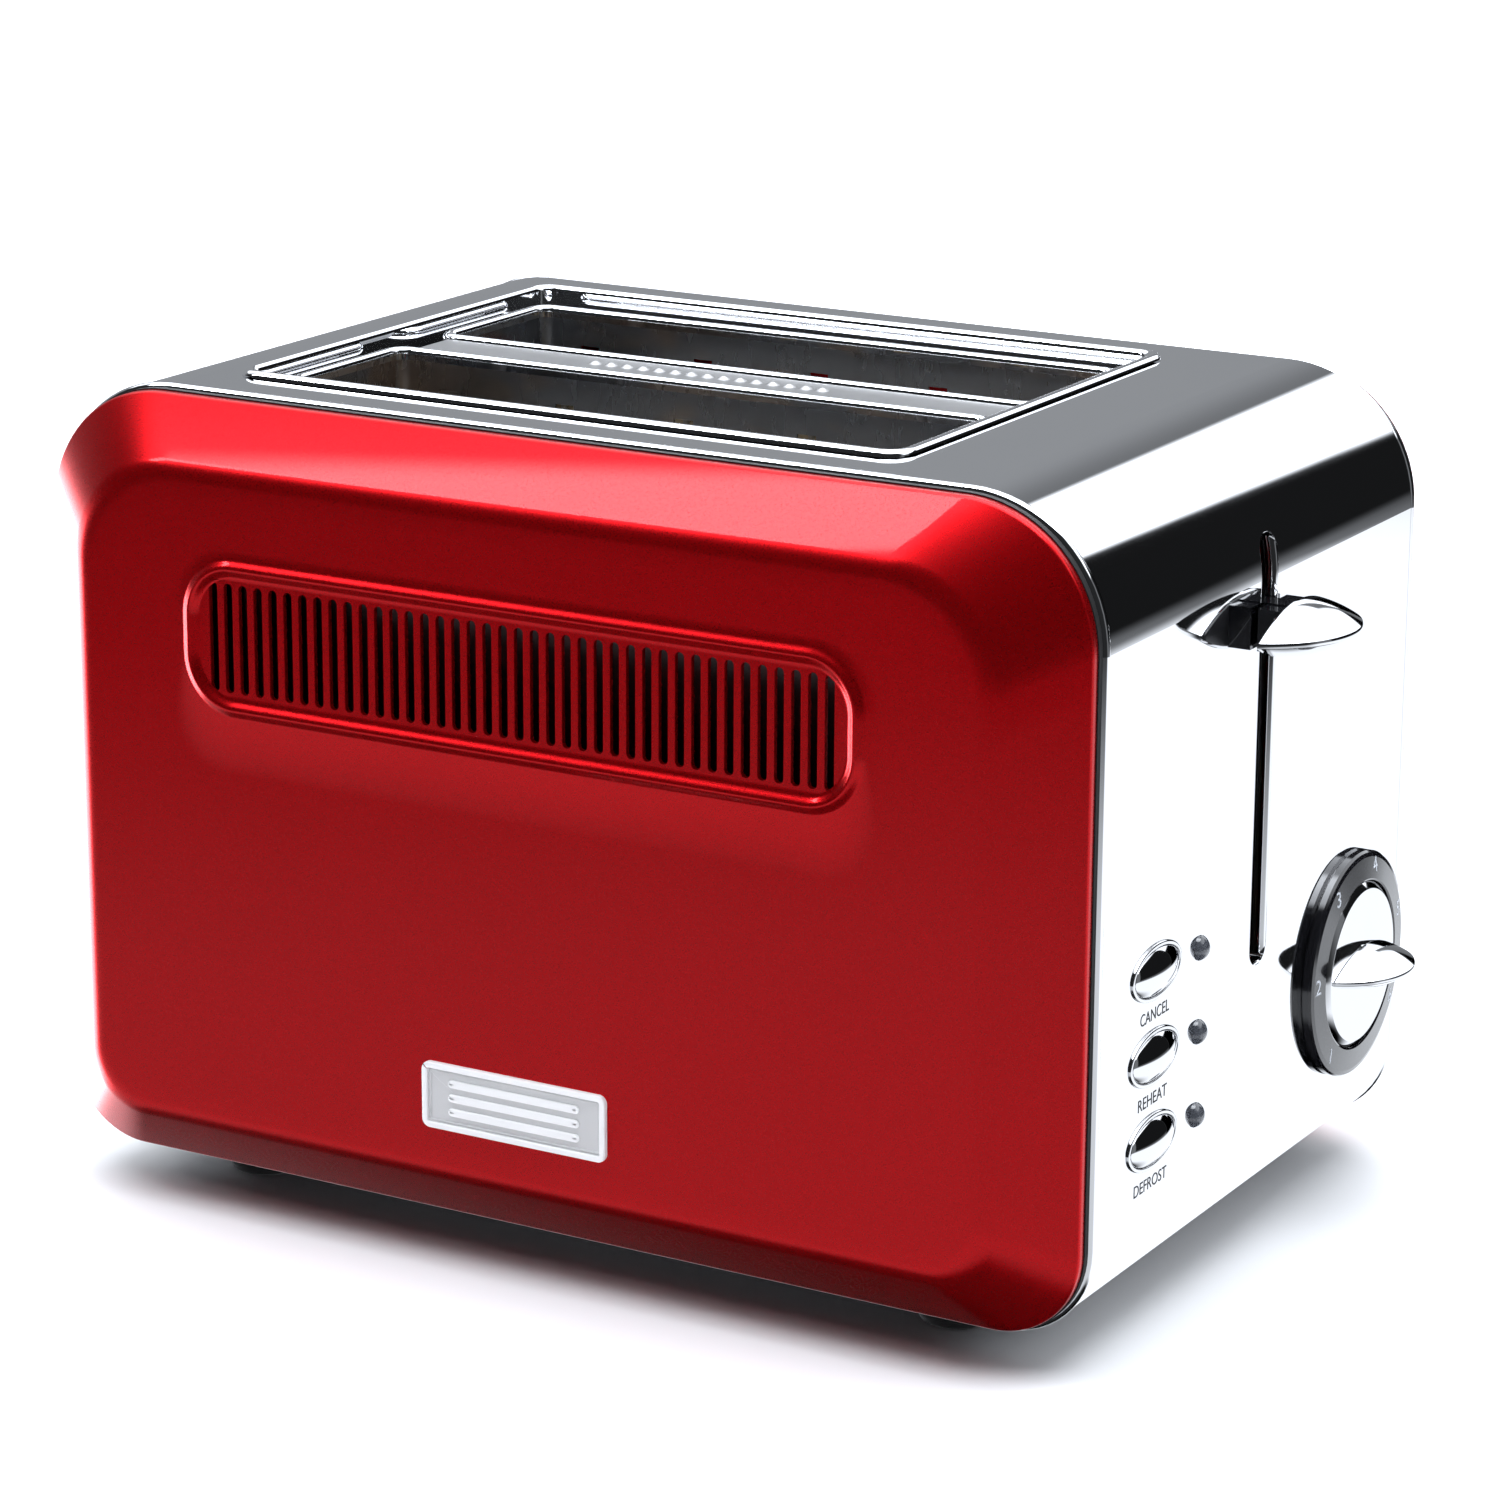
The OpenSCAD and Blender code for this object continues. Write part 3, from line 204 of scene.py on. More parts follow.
def filleted(corners, radii, steps=6):
    """A broken line with each inner corner rounded: an arc that touches both of its neighbours,
    tangent length = radius x tan(half the turn)."""
    out = [np.asarray(corners[0], float)[None]]
    for i in range(1, len(corners) - 1):
        before, here, after = (np.asarray(corners[j], float) for j in (i - 1, i, i + 1))
        way_in = (here - before) / np.linalg.norm(here - before)
        way_out = (after - here) / np.linalg.norm(after - here)
        turn = math.acos(max(-1.0, min(1.0, float(way_in @ way_out))))
        reach = radii[i - 1] * math.tan(turn / 2)
        a, b = here - way_in * reach, here + way_out * reach
        middle = (way_out - way_in) / np.linalg.norm(way_out - way_in)
        centre = here + middle * radii[i - 1] / math.cos(turn / 2)
        t = np.linspace(0, 1, steps + 1)[:, None]
        spread = (np.sin((1 - t) * turn) * (a - centre) + np.sin(t * turn) * (b - centre)) / math.sin(turn)
        out.append(centre + spread)
    out.append(np.asarray(corners[-1], float)[None])
    return np.concatenate(out)


def turned(profile, centre, steps=96):
    """A profile of (radius, reach out) carried round the X axis through a centre: x = centre + reach,
    y and z on a circle of that radius."""
    a = np.linspace(0, 2 * np.pi, steps, endpoint=False)
    radius, reach = profile[:, 0:1], profile[:, 1:2]
    x = centre[0] + reach + 0 * a
    return np.stack([x, centre[1] + radius * np.cos(a), centre[2] + radius * np.sin(a)], 2)


def oval(profile, centre, half_wide, half_high, steps=96):
    """A profile of (outset, reach out) carried round an ellipse: the outset is added to both of the
    ellipse's half axes."""
    a = np.linspace(0, 2 * np.pi, steps, endpoint=False)
    outset, reach = profile[:, 0:1], profile[:, 1:2]
    x = centre[0] + reach + 0 * a
    y = centre[1] + (half_wide + outset) * np.cos(a)
    z = centre[2] + (half_high + outset) * np.sin(a)
    return np.stack([x, y, z], 2)


# ------------------------------------------------------------------ shader maths

class Value:
    """A number that varies over a surface. Arithmetic on it adds Math nodes."""

    def __init__(self, finish, socket):
        self.finish = finish
        self.socket = socket

    def maths(self, operation, *others):
        """A Math node with this value first."""
        sides = [self, *others]
        node = self.finish.node("ShaderNodeMath", {"operation": operation}, *sides)
        return Value(self.finish, node.outputs[0])

    def reflected(self, operation, other):
        """A Math node with this value second."""
        node = self.finish.node("ShaderNodeMath", {"operation": operation}, other, self)
        return Value(self.finish, node.outputs[0])

    def __add__(self, other):
        return self.maths("ADD", other)

    def __sub__(self, other):
        return self.maths("SUBTRACT", other)

    def __mul__(self, other):
        return self.maths("MULTIPLY", other)

    def __truediv__(self, other):
        return self.maths("DIVIDE", other)

    def __pow__(self, other):
        return self.maths("POWER", other)

    def __rsub__(self, other):
        return self.reflected("SUBTRACT", other)

    def __rtruediv__(self, other):
        return self.reflected("DIVIDE", other)

    __radd__ = __add__
    __rmul__ = __mul__

    def ramp(self, low, high):
        """0 below low, 1 above high, smooth between."""
        settings = {"interpolation_type": "SMOOTHSTEP"}
        node = self.finish.node("ShaderNodeMapRange", settings, self, low, high, 0.0, 1.0)
        return Value(self.finish, node.outputs[0])

    def band(self, low, high, edge):
        """1 between low and high, fading to 0 over edge on each side."""
        return self.ramp(low - edge, low + edge) * (1 - self.ramp(high - edge, high + edge))


class Finish:
    """A material, or the surroundings, and the nodes that make it."""

    def __init__(self, owner):
        owner.use_nodes = True
        self.owner = owner
        self.tree = owner.node_tree
        self.tree.nodes.clear()

    def node(self, kind, settings=None, *values, **named):
        """Adds a node of a type: first its settings, then values or links for its inputs, in order or
        by name."""
        made = self.tree.nodes.new(kind)
        for key, value in (settings or {}).items():
            setattr(made, key, value)
        for key, value in list(enumerate(values)) + list(named.items()):
            self.feed(made.inputs[key.replace("_", " ") if isinstance(key, str) else key], value)
        return made

    def feed(self, socket, value):
        """Gives a socket a link, if the value comes from another node, or a constant."""
        if isinstance(value, Value):
            self.tree.links.new(value.socket, socket)
        elif isinstance(value, bpy.types.NodeSocket):
            self.tree.links.new(value, socket)
        else:
            socket.default_value = value

    def place(self):
        """Where a point is on the toaster, in metres."""
        return self.node("ShaderNodeTexCoord").outputs["Object"]

    def axes(self, where):
        """The three numbers of a place."""
        parts = self.node("ShaderNodeSeparateXYZ", None, where)
        return [Value(self, socket) for socket in parts.outputs]

    def noise(self, where, size, detail=3.0, roughness=0.5, stretch=(1, 1, 1)):
        """Cloudy noise from 0 to 1 with features of about one size in metres."""
        scale = [k / size for k in stretch]
        spread = self.node("ShaderNodeMapping", None, where, Scale=scale)
        made = self.node("ShaderNodeTexNoise", None, Vector=spread.outputs[0], Scale=1.0, Detail=detail,
                         Roughness=roughness)
        return Value(self, made.outputs[0])

    def cells(self, where, size):
        """A flat random number for each small cell, as flakes or grains have."""
        spread = self.node("ShaderNodeMapping", None, where, Scale=[1 / size] * 3)
        made = self.node("ShaderNodeTexVoronoi", None, Vector=spread.outputs[0], Scale=1.0)
        parts = self.node("ShaderNodeSeparateColor", None, made.outputs["Color"])
        return Value(self, parts.outputs[0])

    def blend(self, share, first, second):
        """A colour between two others."""
        made = self.node("ShaderNodeMix", {"data_type": "RGBA"})
        self.feed(made.inputs["Factor"], share)
        self.feed(made.inputs[6], first)
        self.feed(made.inputs[7], second)
        return made.outputs[2]

    def bump(self, height, depth):
        """A normal from a height from 0 to 1, which stands for a depth in metres."""
        return self.node("ShaderNodeBump", None, Strength=1.0, Distance=depth, Height=height).outputs[0]

    def surface(self, **inputs):
        """The shader itself and the output."""
        shader = self.node("ShaderNodeBsdfPrincipled", None, **inputs)
        self.node("ShaderNodeOutputMaterial", None, shader.outputs[0])
        return self.owner


def finish(name):
    """A new material."""
    return Finish(bpy.data.materials.new(name))


def tone(red, green, blue):
    """A solid colour."""
    return (red, green, blue, 1.0)


# ------------------------------------------------------------------ finishes

def red_enamel():
    """Candy red on pressed steel: fine flakes under a clear coat with a faint orange peel."""
    f = finish("red_enamel")
    where = f.place()
    flakes = f.cells(where, 0.2 * mm)
    clouds = f.noise(where, 40 * mm, 2.0)
    peel = f.noise(where, 1.8 * mm, 2.0)
    colour = f.blend(clouds * 0.5 + flakes * 0.2, tone(0.6, 0.001, 0.004), tone(0.68, 0.002, 0.007))
    return f.surface(
        Base_Color=colour, Metallic=0.85, Roughness=0.27 + flakes * 0.03,
        Coat_Weight=0.22, Coat_Roughness=0.03, Coat_IOR=1.5,
        Normal=f.bump(peel, 0.002 * mm),
    )


def chrome(name="chrome", roughness=0.03, level=0.95, waves=0.02):
    """Mirror plating: almost no colour, the slightest haze in clouds, and the sheet's long waves."""
    f = finish(name)
    where = f.place()
    haze = f.noise(where, 22 * mm, 4.0, 0.6)
    long_waves = f.noise(where, 45 * mm, 1.0)
    colour = f.blend(haze, tone(level, level, level * 1.01), tone(level * 0.96, level * 0.97, level * 0.99))
    return f.surface(
        Base_Color=colour, Metallic=1.0, Roughness=roughness + (haze ** 3.0) * 0.05,
        Normal=f.bump(long_waves, waves * mm),
    )


def brushed(name, level, roughness, grain=(1, 1, 14), size=3.0, warmth=0.0):
    """Drawn or rolled steel: fine lines along one axis in colour, roughness and height."""
    f = finish(name)
    where = f.place()
    lines = f.noise(where, size * mm, 5.0, 0.65, grain)
    stains = f.noise(where, 18 * mm, 3.0)
    dark = tone(level * 0.72, level * (0.72 - warmth), level * (0.73 - 2 * warmth))
    light = tone(level * 1.08, level * (1.08 - warmth), level * (1.09 - 2 * warmth))
    return f.surface(
        Base_Color=f.blend(lines * 0.6 + stains * 0.4, dark, light), Metallic=1.0,
        Roughness=roughness + lines * 0.12 + stains * 0.06, Normal=f.bump(lines, 0.01 * mm),
    )


def moulded(name, colour, roughness, grain=0.5, depth=0.02, coat=0.0):
    """Moulded plastic or rubber: a fine pebbled skin with a slow drift in its gloss."""
    f = finish(name)
    where = f.place()
    pebbles = f.noise(where, grain * mm, 3.0, 0.6)
    drift = f.noise(where, 20 * mm, 3.0)
    dark = tone(*[c * 0.8 for c in colour])
    light = tone(*[min(1.0, c * 1.25) for c in colour])
    return f.surface(
        Base_Color=f.blend(drift * 0.7 + pebbles * 0.3, dark, light),
        Roughness=roughness + drift * 0.08 - pebbles * 0.04,
        Coat_Weight=coat, Coat_Roughness=0.04, Normal=f.bump(pebbles, depth * mm),
    )


def mica_board():
    """Pressed mica: pale scales of several browns with a weak pearly gloss."""
    f = finish("mica")
    where = f.place()
    scales = f.cells(where, 2.2 * mm)
    clouds = f.noise(where, 9 * mm, 4.0)
    return f.surface(
        Base_Color=f.blend(scales * 0.6 + clouds * 0.4, tone(0.3, 0.22, 0.13), tone(0.56, 0.46, 0.32)),
        Roughness=0.45 + scales * 0.2, Metallic=0.15, Normal=f.bump(scales, 0.03 * mm),
    )


def throat_sheet():
    """Dull dark steel round a bread slot: painted shade that deepens downwards into the slot, and scattered
    tan patches.
    """
    f = finish("throat_steel")
    where = f.place()
    z = f.axes(where)[2]
    # painted shade: the grey darkens from 6 mm to 20 mm below the shell's top, deeper into the slot
    slot_shade = 1 - z.ramp(shell_top - 20 * mm, shell_top - 6 * mm)
    smears = f.noise(where, 7 * mm, 4.0, 0.6, (1, 1, 0.3))
    patches = f.noise(where, 34 * mm, 2.0, 0.5, (1, 1, 2)).ramp(0.5, 0.62)
    grey = f.blend(slot_shade * 0.6 + smears * 0.3, tone(0.4, 0.42, 0.45), tone(0.13, 0.13, 0.14))
    return f.surface(
        Base_Color=f.blend(patches * 0.8, grey, tone(0.5, 0.41, 0.34)), Metallic=1.0,
        Roughness=0.2 + smears * 0.14, Normal=f.bump(smears, 0.02 * mm),
    )


def circuit_board():
    """Green solder mask with paler tracks that run in lanes."""
    f = finish("board_green")
    lanes = f.noise(f.place(), 2.4 * mm, 0.0, 0.5, (1, 1, 0.12)).ramp(0.5, 0.54)
    return f.surface(
        Base_Color=f.blend(lanes, tone(0.01, 0.07, 0.03), tone(0.03, 0.16, 0.07)),
        Roughness=0.35 + lanes * 0.1, Normal=f.bump(lanes, 0.03 * mm),
    )


def lamp_lens():
    """Smoked lens over a lamp that is off."""
    f = finish("lamp_lens")
    where = f.place()
    flecks = f.noise(where, 1.5 * mm, 2.0)
    return f.surface(
        Base_Color=f.blend(flecks, tone(0.05, 0.055, 0.065), tone(0.1, 0.105, 0.12)),
        Roughness=0.08 + flecks * 0.06, Coat_Weight=1.0, Coat_Roughness=0.02,
        Normal=f.bump(flecks, 0.004 * mm),
    )


def badge_enamel(name, level):
    """White badge: smooth enamel, faintly greyer in its clouds."""
    f = finish(name)
    where = f.place()
    clouds = f.noise(where, 6 * mm, 2.0)
    return f.surface(
        Base_Color=f.blend(clouds, tone(level * 0.94, level * 0.94, level * 0.95), tone(level, level, level)),
        Roughness=0.3 + clouds * 0.08, Coat_Weight=0.4, Coat_Roughness=0.05,
        Normal=f.bump(clouds, 0.004 * mm),
    )


def printing(name, colour):
    """Printed ink, a little worn in its clouds."""
    f = finish(name)
    clouds = f.noise(f.place(), 2 * mm, 3.0)
    dark = tone(*[c * 0.85 for c in colour])
    return f.surface(Base_Color=f.blend(clouds, tone(*colour), dark), Roughness=0.5 + clouds * 0.1)


FINISHES = {
    "red_enamel": red_enamel(),
    "chrome": chrome(),
    "gasket_rubber": moulded("gasket_rubber", (0.012, 0.012, 0.013), 0.6),
    "foot_rubber": moulded("foot_rubber", (0.02, 0.02, 0.02), 0.75, 0.8, 0.04),
    "black_plastic": moulded("black_plastic", (0.018, 0.018, 0.02), 0.4, 0.4, 0.02),
    "gloss_black": moulded("gloss_black", (0.008, 0.008, 0.01), 0.12, 6.0, 0.004, 1.0),
    "throat_steel": throat_sheet(),
    "plain_steel": brushed("plain_steel", 0.5, 0.32),
    "wire_steel": brushed("wire_steel", 0.55, 0.24),
    "reflector_steel": brushed("reflector_steel", 0.6, 0.3, (1, 1, 8)),
    "mica": mica_board(),
    "heater_alloy": brushed("heater_alloy", 0.3, 0.5, (1, 1, 6), 2.0, 0.08),
    "copper": brushed("copper", 0.55, 0.3, (1, 1, 20), 2.0, 0.22),
    "board_green": circuit_board(),
    "ceramic": moulded("ceramic", (0.66, 0.62, 0.52), 0.5, 1.2, 0.03),
    "lead_brown": moulded("lead_brown", (0.22, 0.09, 0.04), 0.6, 0.6, 0.05),
    "lamp_lens": lamp_lens(),
    "badge_white": badge_enamel("badge_white", 0.95),
}
BADGE_GREY = badge_enamel("badge_grey", 0.62)
PLATED_TRIM = chrome("plated_trim", 0.045, 0.88, 0.0)
BAR_METAL = brushed("bar_metal", 0.42, 0.3, (0.2, 6, 1), 3.0)
BLACK_PRINT = printing("black_print", (0.03, 0.03, 0.035))
WHITE_PRINT = printing("white_print", (0.62, 0.65, 0.7))


def dress_frame():
    """Gives every carried-over node the finish of its record's slot."""
    for part in frame["record"]["subparts"]:
        node = NODES[part["node"]]
        node.data.materials.clear()
        node.data.materials.append(FINISHES[part["material_slot"]])


# ------------------------------------------------------------------ painted panels

def rounded_loop(half_x, low, high, top_r, low_r, across=160, down=32, bend=(16, 10)):
    """A closed loop of (x, z) round an upright rectangle with rounded corners. It starts half way
    round the top left corner; the top and bottom hold 'across' steps and the sides 'down' steps."""
    top_bend, side_bend = bend
    tl, tr = (-half_x + top_r, high - top_r), (half_x - top_r, high - top_r)
    bl, br = (-half_x + low_r, low + low_r), (half_x - low_r, low + low_r)
    flat, wall = across - 2 * top_bend, down - 2 * side_bend
    top = chain(
        arc(tl, top_r, 135, 90, top_bend),
        line((tl[0], high), (tr[0], high), flat),
        arc(tr, top_r, 90, 45, top_bend),
    )
    right = chain(
        arc(tr, top_r, 45, 0, side_bend),
        line((half_x, tr[1]), (half_x, br[1]), wall),
        arc(br, low_r, 0, -45, side_bend),
    )
    bottom = chain(
        arc(br, low_r, -45, -90, top_bend),
        line((br[0], low), (bl[0], low), flat),
        arc(bl, low_r, 270, 225, top_bend),
    )
    left = chain(
        arc(bl, low_r, 225, 180, side_bend),
        line((-half_x, bl[1]), (-half_x, tl[1]), wall),
        arc(tl, top_r, 180, 135, side_bend),
    )
    return chain(top, right, bottom, left)[:-1]


def panel_loops(lip):
    """Closed loops of the pressed sheet, from the vents' block outwards, as (x, z, out): the flat, the
    half-round bead (height = half a cosine wave), the flat again, and the sloped border, whose profile is a
    broken line with round corners. Inside a slope a loop's size and corner radii change in proportion."""
    def raised(loop, out):
        return np.column_stack([loop, np.full(len(loop), out)])

    half_block = vent_count * vent_pitch / 2
    block_rise = vent_height / 2 + vent_margin
    inner = bead_width - bead_reach
    loops = [raised(rounded_loop(half_block, vent_z - block_rise, vent_z + block_rise, 1e-6, 1e-6), face_out)]
    across_bead = np.linspace(-1, 1, 13)
    for t in across_bead:
        inset = bead_width * (1 - t) / 2
        loop = rounded_loop(
            bead_reach - inset, vent_z - bead_rise + inset, vent_z + bead_rise - inset,
            bead_corner - inset, bead_corner - inset,
        )
        loops.append(raised(loop, face_out + bead_proud * 0.5 * (1 + math.cos(math.pi * t))))
    steep = [(0.0, 0.0), (0.0, lip), (slope_edge, face_out), (slope_edge * 1.5, face_out)]
    profile = filleted(steep, (lip * 0.7, 7 * mm), 10)[::-1]
    profile = np.concatenate([profile[:-1], line(profile[-1] + [0, 0.5 * lip], profile[-1], 2)])
    border = []
    for inset, out in profile:
        share = inset / slope_edge
        loop = rounded_loop(
            shell_length / 2 - share * slope_end,
            shell_bottom + inset,
            shell_top - inset,
            corner_top + min(share, 1.5) * (face_corner_top - corner_top),
            corner_bottom + min(share, 1.5) * (face_corner_bottom - corner_bottom),
        )
        border.append(raised(loop, out))
    for t in np.linspace(0, 1, 8)[1:-1]:
        loops.append(loops[13] * (1 - t) + border[0] * t)
    return np.stack(loops + border)


def vent_cell(middle):
    """The sheet round one vent: loops from the cell's rectangle in to the vent's round-ended outline."""
    rise = vent_height / 2 + vent_margin
    half = vent_pitch / 2
    cell = rounded_loop(half, vent_z - rise, vent_z + rise, 1e-6, 1e-6, 4, 32, (2, 2))
    radius = vent_width / 2
    reach = vent_height / 2
    hole = rounded_loop(radius, vent_z - reach, vent_z + reach, radius, radius, 4, 32, (2, 2))
    share = np.array([0, 0.6, 1])[:, None, None]
    flat = cell * (1 - share) + hole * share
    out = np.full(flat.shape[:2] + (1,), face_out)
    return np.concatenate([flat + [middle, 0], out], 2)


def painted_panel(name, side):
    """A pressed panel: side -1 is the front, +1 the rear. x and z are across and up, out is away from
    the shell's rim; the sheet's thickness goes inwards."""
    skin = Skin()

    def stand(grid):
        return np.stack([shell_x + grid[..., 0], side * (rim_y + grid[..., 2]), grid[..., 1]], -1)

    lip = rim_lip if side < 0 else rear_lip
    skin.add(stand(panel_loops(lip)), closed_columns=True, flip=side > 0)
    middles = (np.arange(vent_count) - (vent_count - 1) / 2) * vent_pitch
    for middle in middles:
        skin.add(stand(vent_cell(middle)), closed_columns=True, flip=side < 0)
    node = "front_panel" if side < 0 else "rear_panel"
    piece = skin.piece(name, "shell", FINISHES["red_enamel"], "red_enamel", [node], outward=False)
    wall = piece.modifiers.new("sheet", "SOLIDIFY")
    wall.thickness = sheet
    wall.offset = -1
    return softened(piece, 0.18 * mm, 2, 55)


# ------------------------------------------------------------------ badge and bar between the slots

def framed_plate(half_x, half_z, corner, profile, centre, side, across=24, down=12):
    """A profile of (inset, out) carried round a rounded rectangle in the XZ plane, with a flat middle
    that closes on its centre line."""
    loops = []
    for inset, out in profile:
        r = max(corner - inset, 0.25 * mm)
        loop = rounded_loop(half_x - inset, -half_z + inset, half_z - inset, r, r, across, down, (4, 4))
        loops.append(np.column_stack([loop, np.full(len(loop), out)]))
    middle = loops[-1].copy()
    middle[:, 1] = 0
    middle[:, 0] *= (half_x - half_z) / half_x
    loops.append(middle)
    g = np.stack(loops)
    return np.stack([centre.x + g[..., 0], centre.y + side * g[..., 2], centre.z + g[..., 1]], -1)


def badge():
    """Plain generic badge: a white frame with rounded edges round a greyer field that carries three
    raised white stripes."""
    low, high = badge_low, badge_high
    centre = Vector(((low.x + high.x) / 2, high.y, (low.z + high.z) / 2))
    half_x, half_z = (high.x - low.x) / 2, (high.z - low.z) / 2
    proud = high.y - low.y
    border, floor = 1.5 * mm, 0.35 * mm
    rim = filleted([(0, 0), (0, proud), (border, proud), (border, floor), (2 * border, floor)],
                   (0.4 * mm, 0.35 * mm, 0.25 * mm), 5)
    white = FINISHES["badge_white"]
    frame_skin = Skin().add(framed_plate(half_x, half_z, 2 * mm, rim, centre, -1))
    frame_skin.piece("badge_frame", "shell", white, "badge_white", ["badge"])
    rebate = [(1.7, 0.2), (1.7, 0.7), (2.3, 0.7), (2.3, 0.5), (3.2, 0.5)]
    field = filleted(np.array(rebate) * mm, (0.15 * mm, 0.1 * mm, 0.1 * mm), 3)
    Skin().add(framed_plate(half_x, half_z, 2.2 * mm, field, centre, -1)).piece(
        "badge_field", "shell", BADGE_GREY, "badge_white", ["badge_inlay"])
    stripes = Skin()
    pitch, half_long, half_high, top = 3.3 * mm, 17 * mm, 0.95 * mm, 0.95 * mm
    stripe = filleted([(0, top - 0.5 * mm), (0, top), (0.9 * mm, top)], (0.3 * mm,), 4)
    for row in (-1, 0, 1):
        spot = centre + Vector((0, 0, row * pitch))
        stripes.add(framed_plate(half_long, half_high, 0.9 * mm, stripe, spot, -1))
    stripes.piece("badge_stripes", "shell", white, "badge_white")


def slot_bar():
    """Strip between the slots: z = strip's top + pip's height x (1 - d^2)^1.2, where d is the distance from
    the nearest pip's middle in pip radii. The strip's edges are rolled down as a quarter circle."""
    pip_count, pip_pitch, pip_radius = 15, 4.3 * mm, 1.75 * mm
    strip = 0.5 * mm
    pip_height = bar_high.z - bar_low.z - strip
    half_y = (bar_high.y - bar_low.y) / 2
    x = np.linspace(bar_low.x, bar_high.x, 520)
    y = np.linspace(-half_y, half_y, 49)
    xx, yy = np.meshgrid(x, y, indexing="ij")
    middle = (bar_low.x + bar_high.x) / 2
    nearest = np.round((xx - middle) / pip_pitch)
    nearest = np.clip(nearest, -(pip_count - 1) / 2, (pip_count - 1) / 2)
    away = np.hypot(xx - middle - nearest * pip_pitch, yy)
    dome = np.clip(1 - (away / pip_radius) ** 2, 0, 1) ** 1.2
    edge = np.clip((half_y - np.abs(yy)) / strip, 0, 1)
    roll = np.sqrt(1 - (1 - edge) ** 2)
    z = bar_low.z + strip * roll + pip_height * dome
    top = np.stack([xx, bar_y + yy, z], -1)
    floor = top.copy()
    floor[..., 2] = bar_low.z
    skin = Skin().add(top).add(floor, flip=True)
    for end in (0, -1):
        skin.add(np.stack([top[end], floor[end]]))
    skin.piece("slot_bar", "shell", BAR_METAL, "chrome", ["divider_bar"])


# ------------------------------------------------------------------ lever knob

def lens_rows(reach, side, cap, rim, rows=28, columns=72):
    """Upper skin of half a lens: polar grid about the middle of its flat back. The distance to the rim at
    an angle is that of a circle through both ends and the tip; height = rim/2 + cap (1 - s^2)."""
    radius = (side ** 2 + reach ** 2) / (2 * reach)
    off = reach - radius
    a = np.linspace(-np.pi / 2, np.pi / 2, columns)[None, :]
    edge = off * np.cos(a) + np.sqrt(radius ** 2 - (off * np.sin(a)) ** 2)
    s = np.sin(np.linspace(0, np.pi / 2, rows))[:, None]
    x, y = s * edge * np.cos(a), s * edge * np.sin(a)
    z = rim / 2 + cap * (1 - s ** 2) + 0 * a
    return np.stack([x, y, z], -1)


def half_lens(skin, back, middle_y, middle_z, reach, side, thick, rim):
    """Closed half lens with a rounded rim: upper and lower skins, a rim that bulges as part of a circle,
    and a flat back."""
    upper = lens_rows(reach, side, thick / 2 - rim / 2, rim)
    lower = upper * [1, 1, -1]
    turn = np.linspace(-1, 1, 7)[:, None, None]
    edge = upper[-1][None] * [1, 1, 0]
    level = turn * [0, 0, rim / 2]
    bulge = (1 - turn ** 2) * 0.12 * rim
    outward = edge / np.maximum(np.linalg.norm(edge, axis=-1, keepdims=True), 1e-9)
    band = edge + level + outward * bulge * np.abs(outward[..., :1])
    shift = [back, middle_y, middle_z]
    top_edge = np.concatenate([upper[::-1, 0], upper[1:, -1]])
    flat_back = top_edge[None] * [1, 1, 0] + turn[::-1] * top_edge[None] * [0, 0, 1]
    return skin.add(upper + shift).add(lower + shift, flip=True).add(band + shift).add(flat_back + shift)


def lever_knob():
    """Plated half lens of the lever, with a black filling in its flat back."""
    reach, side = knob_high.x - knob_low.x, (knob_high.y - knob_low.y) / 2
    thick = knob_high.z - knob_low.z
    rim, filling = 1.2 * mm, 0.4 * mm
    skin = half_lens(Skin(), knob_low.x + filling, 0, lever_z, reach - filling, side, thick, rim)
    skin.piece("lever_lens", "carriage", PLATED_TRIM, "chrome", ["lever_knob"])
    a = np.linspace(-1, 1, 60)
    inset_y, inset_z = 0.8 * mm, 0.5 * mm
    rise = rim / 2 + (thick / 2 - rim / 2 - inset_z) * (1 - a ** 2)
    loops = []
    for out, share in ((filling, 0.97), (0.1 * mm, 0.97), (0.0, 0.94), (0.0, 0.0)):
        y = a * (side - inset_y) * share
        z = rise * share
        x = np.full(2 * len(a), knob_low.x + out)
        loops.append(np.stack([x, np.r_[y, y[::-1]], lever_z + np.r_[z, -z[::-1]]], -1))
    Skin().add(np.stack(loops), closed_columns=True).piece(
        "lever_back", "carriage", FINISHES["black_plastic"], "black_plastic")


def lever_slot_lip():
    """Rolled edge of the lever's slot: a quarter round that turns the cover's face inwards, carried round
    the slot. Above the end face it follows the cover's corner: x = corner middle + root(r^2 - rise^2). Its
    ends are narrower and squarer than its sides, so that the lever's square stem clears them."""
    travel = frame["record"]["behaviour"]["joints"]
    down, up = next(joint["range_m"] for joint in travel if joint["name"] == "carriage_slide")
    half, clear, roll = 4.5 * mm, 1.0 * mm, 1.3 * mm
    low, high = stem_low.z + down - clear, stem_high.z + up + clear
    round_edge = arc((0.0, -roll), roll, 90, 0, 8)
    back = np.array([(1.3, -1.3), (1.3, -3.5), (0.7, -3.5), (0.7, -1.6), (0, -0.6)]) * mm
    profile = chain(round_edge, back)
    loops = []
    for inset, deep in profile:
        corner, end = half - 2.5 * inset, 0.45 * inset
        steps = (24, 60, (12, 14))
        loop = rounded_loop(half - inset, low + end, high - end, corner, corner, *steps)
        rise = np.maximum(loop[:, 1] - (cover_top - cover_corner), 0)
        face = end_x - cover_corner + np.sqrt(cover_corner ** 2 - rise ** 2)
        loops.append(np.column_stack([face + deep, loop[:, 0], loop[:, 1]]))
    Skin().add(np.stack(loops), closed_rows=True, closed_columns=True).piece(
        "lever_slot_lip", "shell", PLATED_TRIM, "chrome")


# ------------------------------------------------------------------ buttons, lamps and words

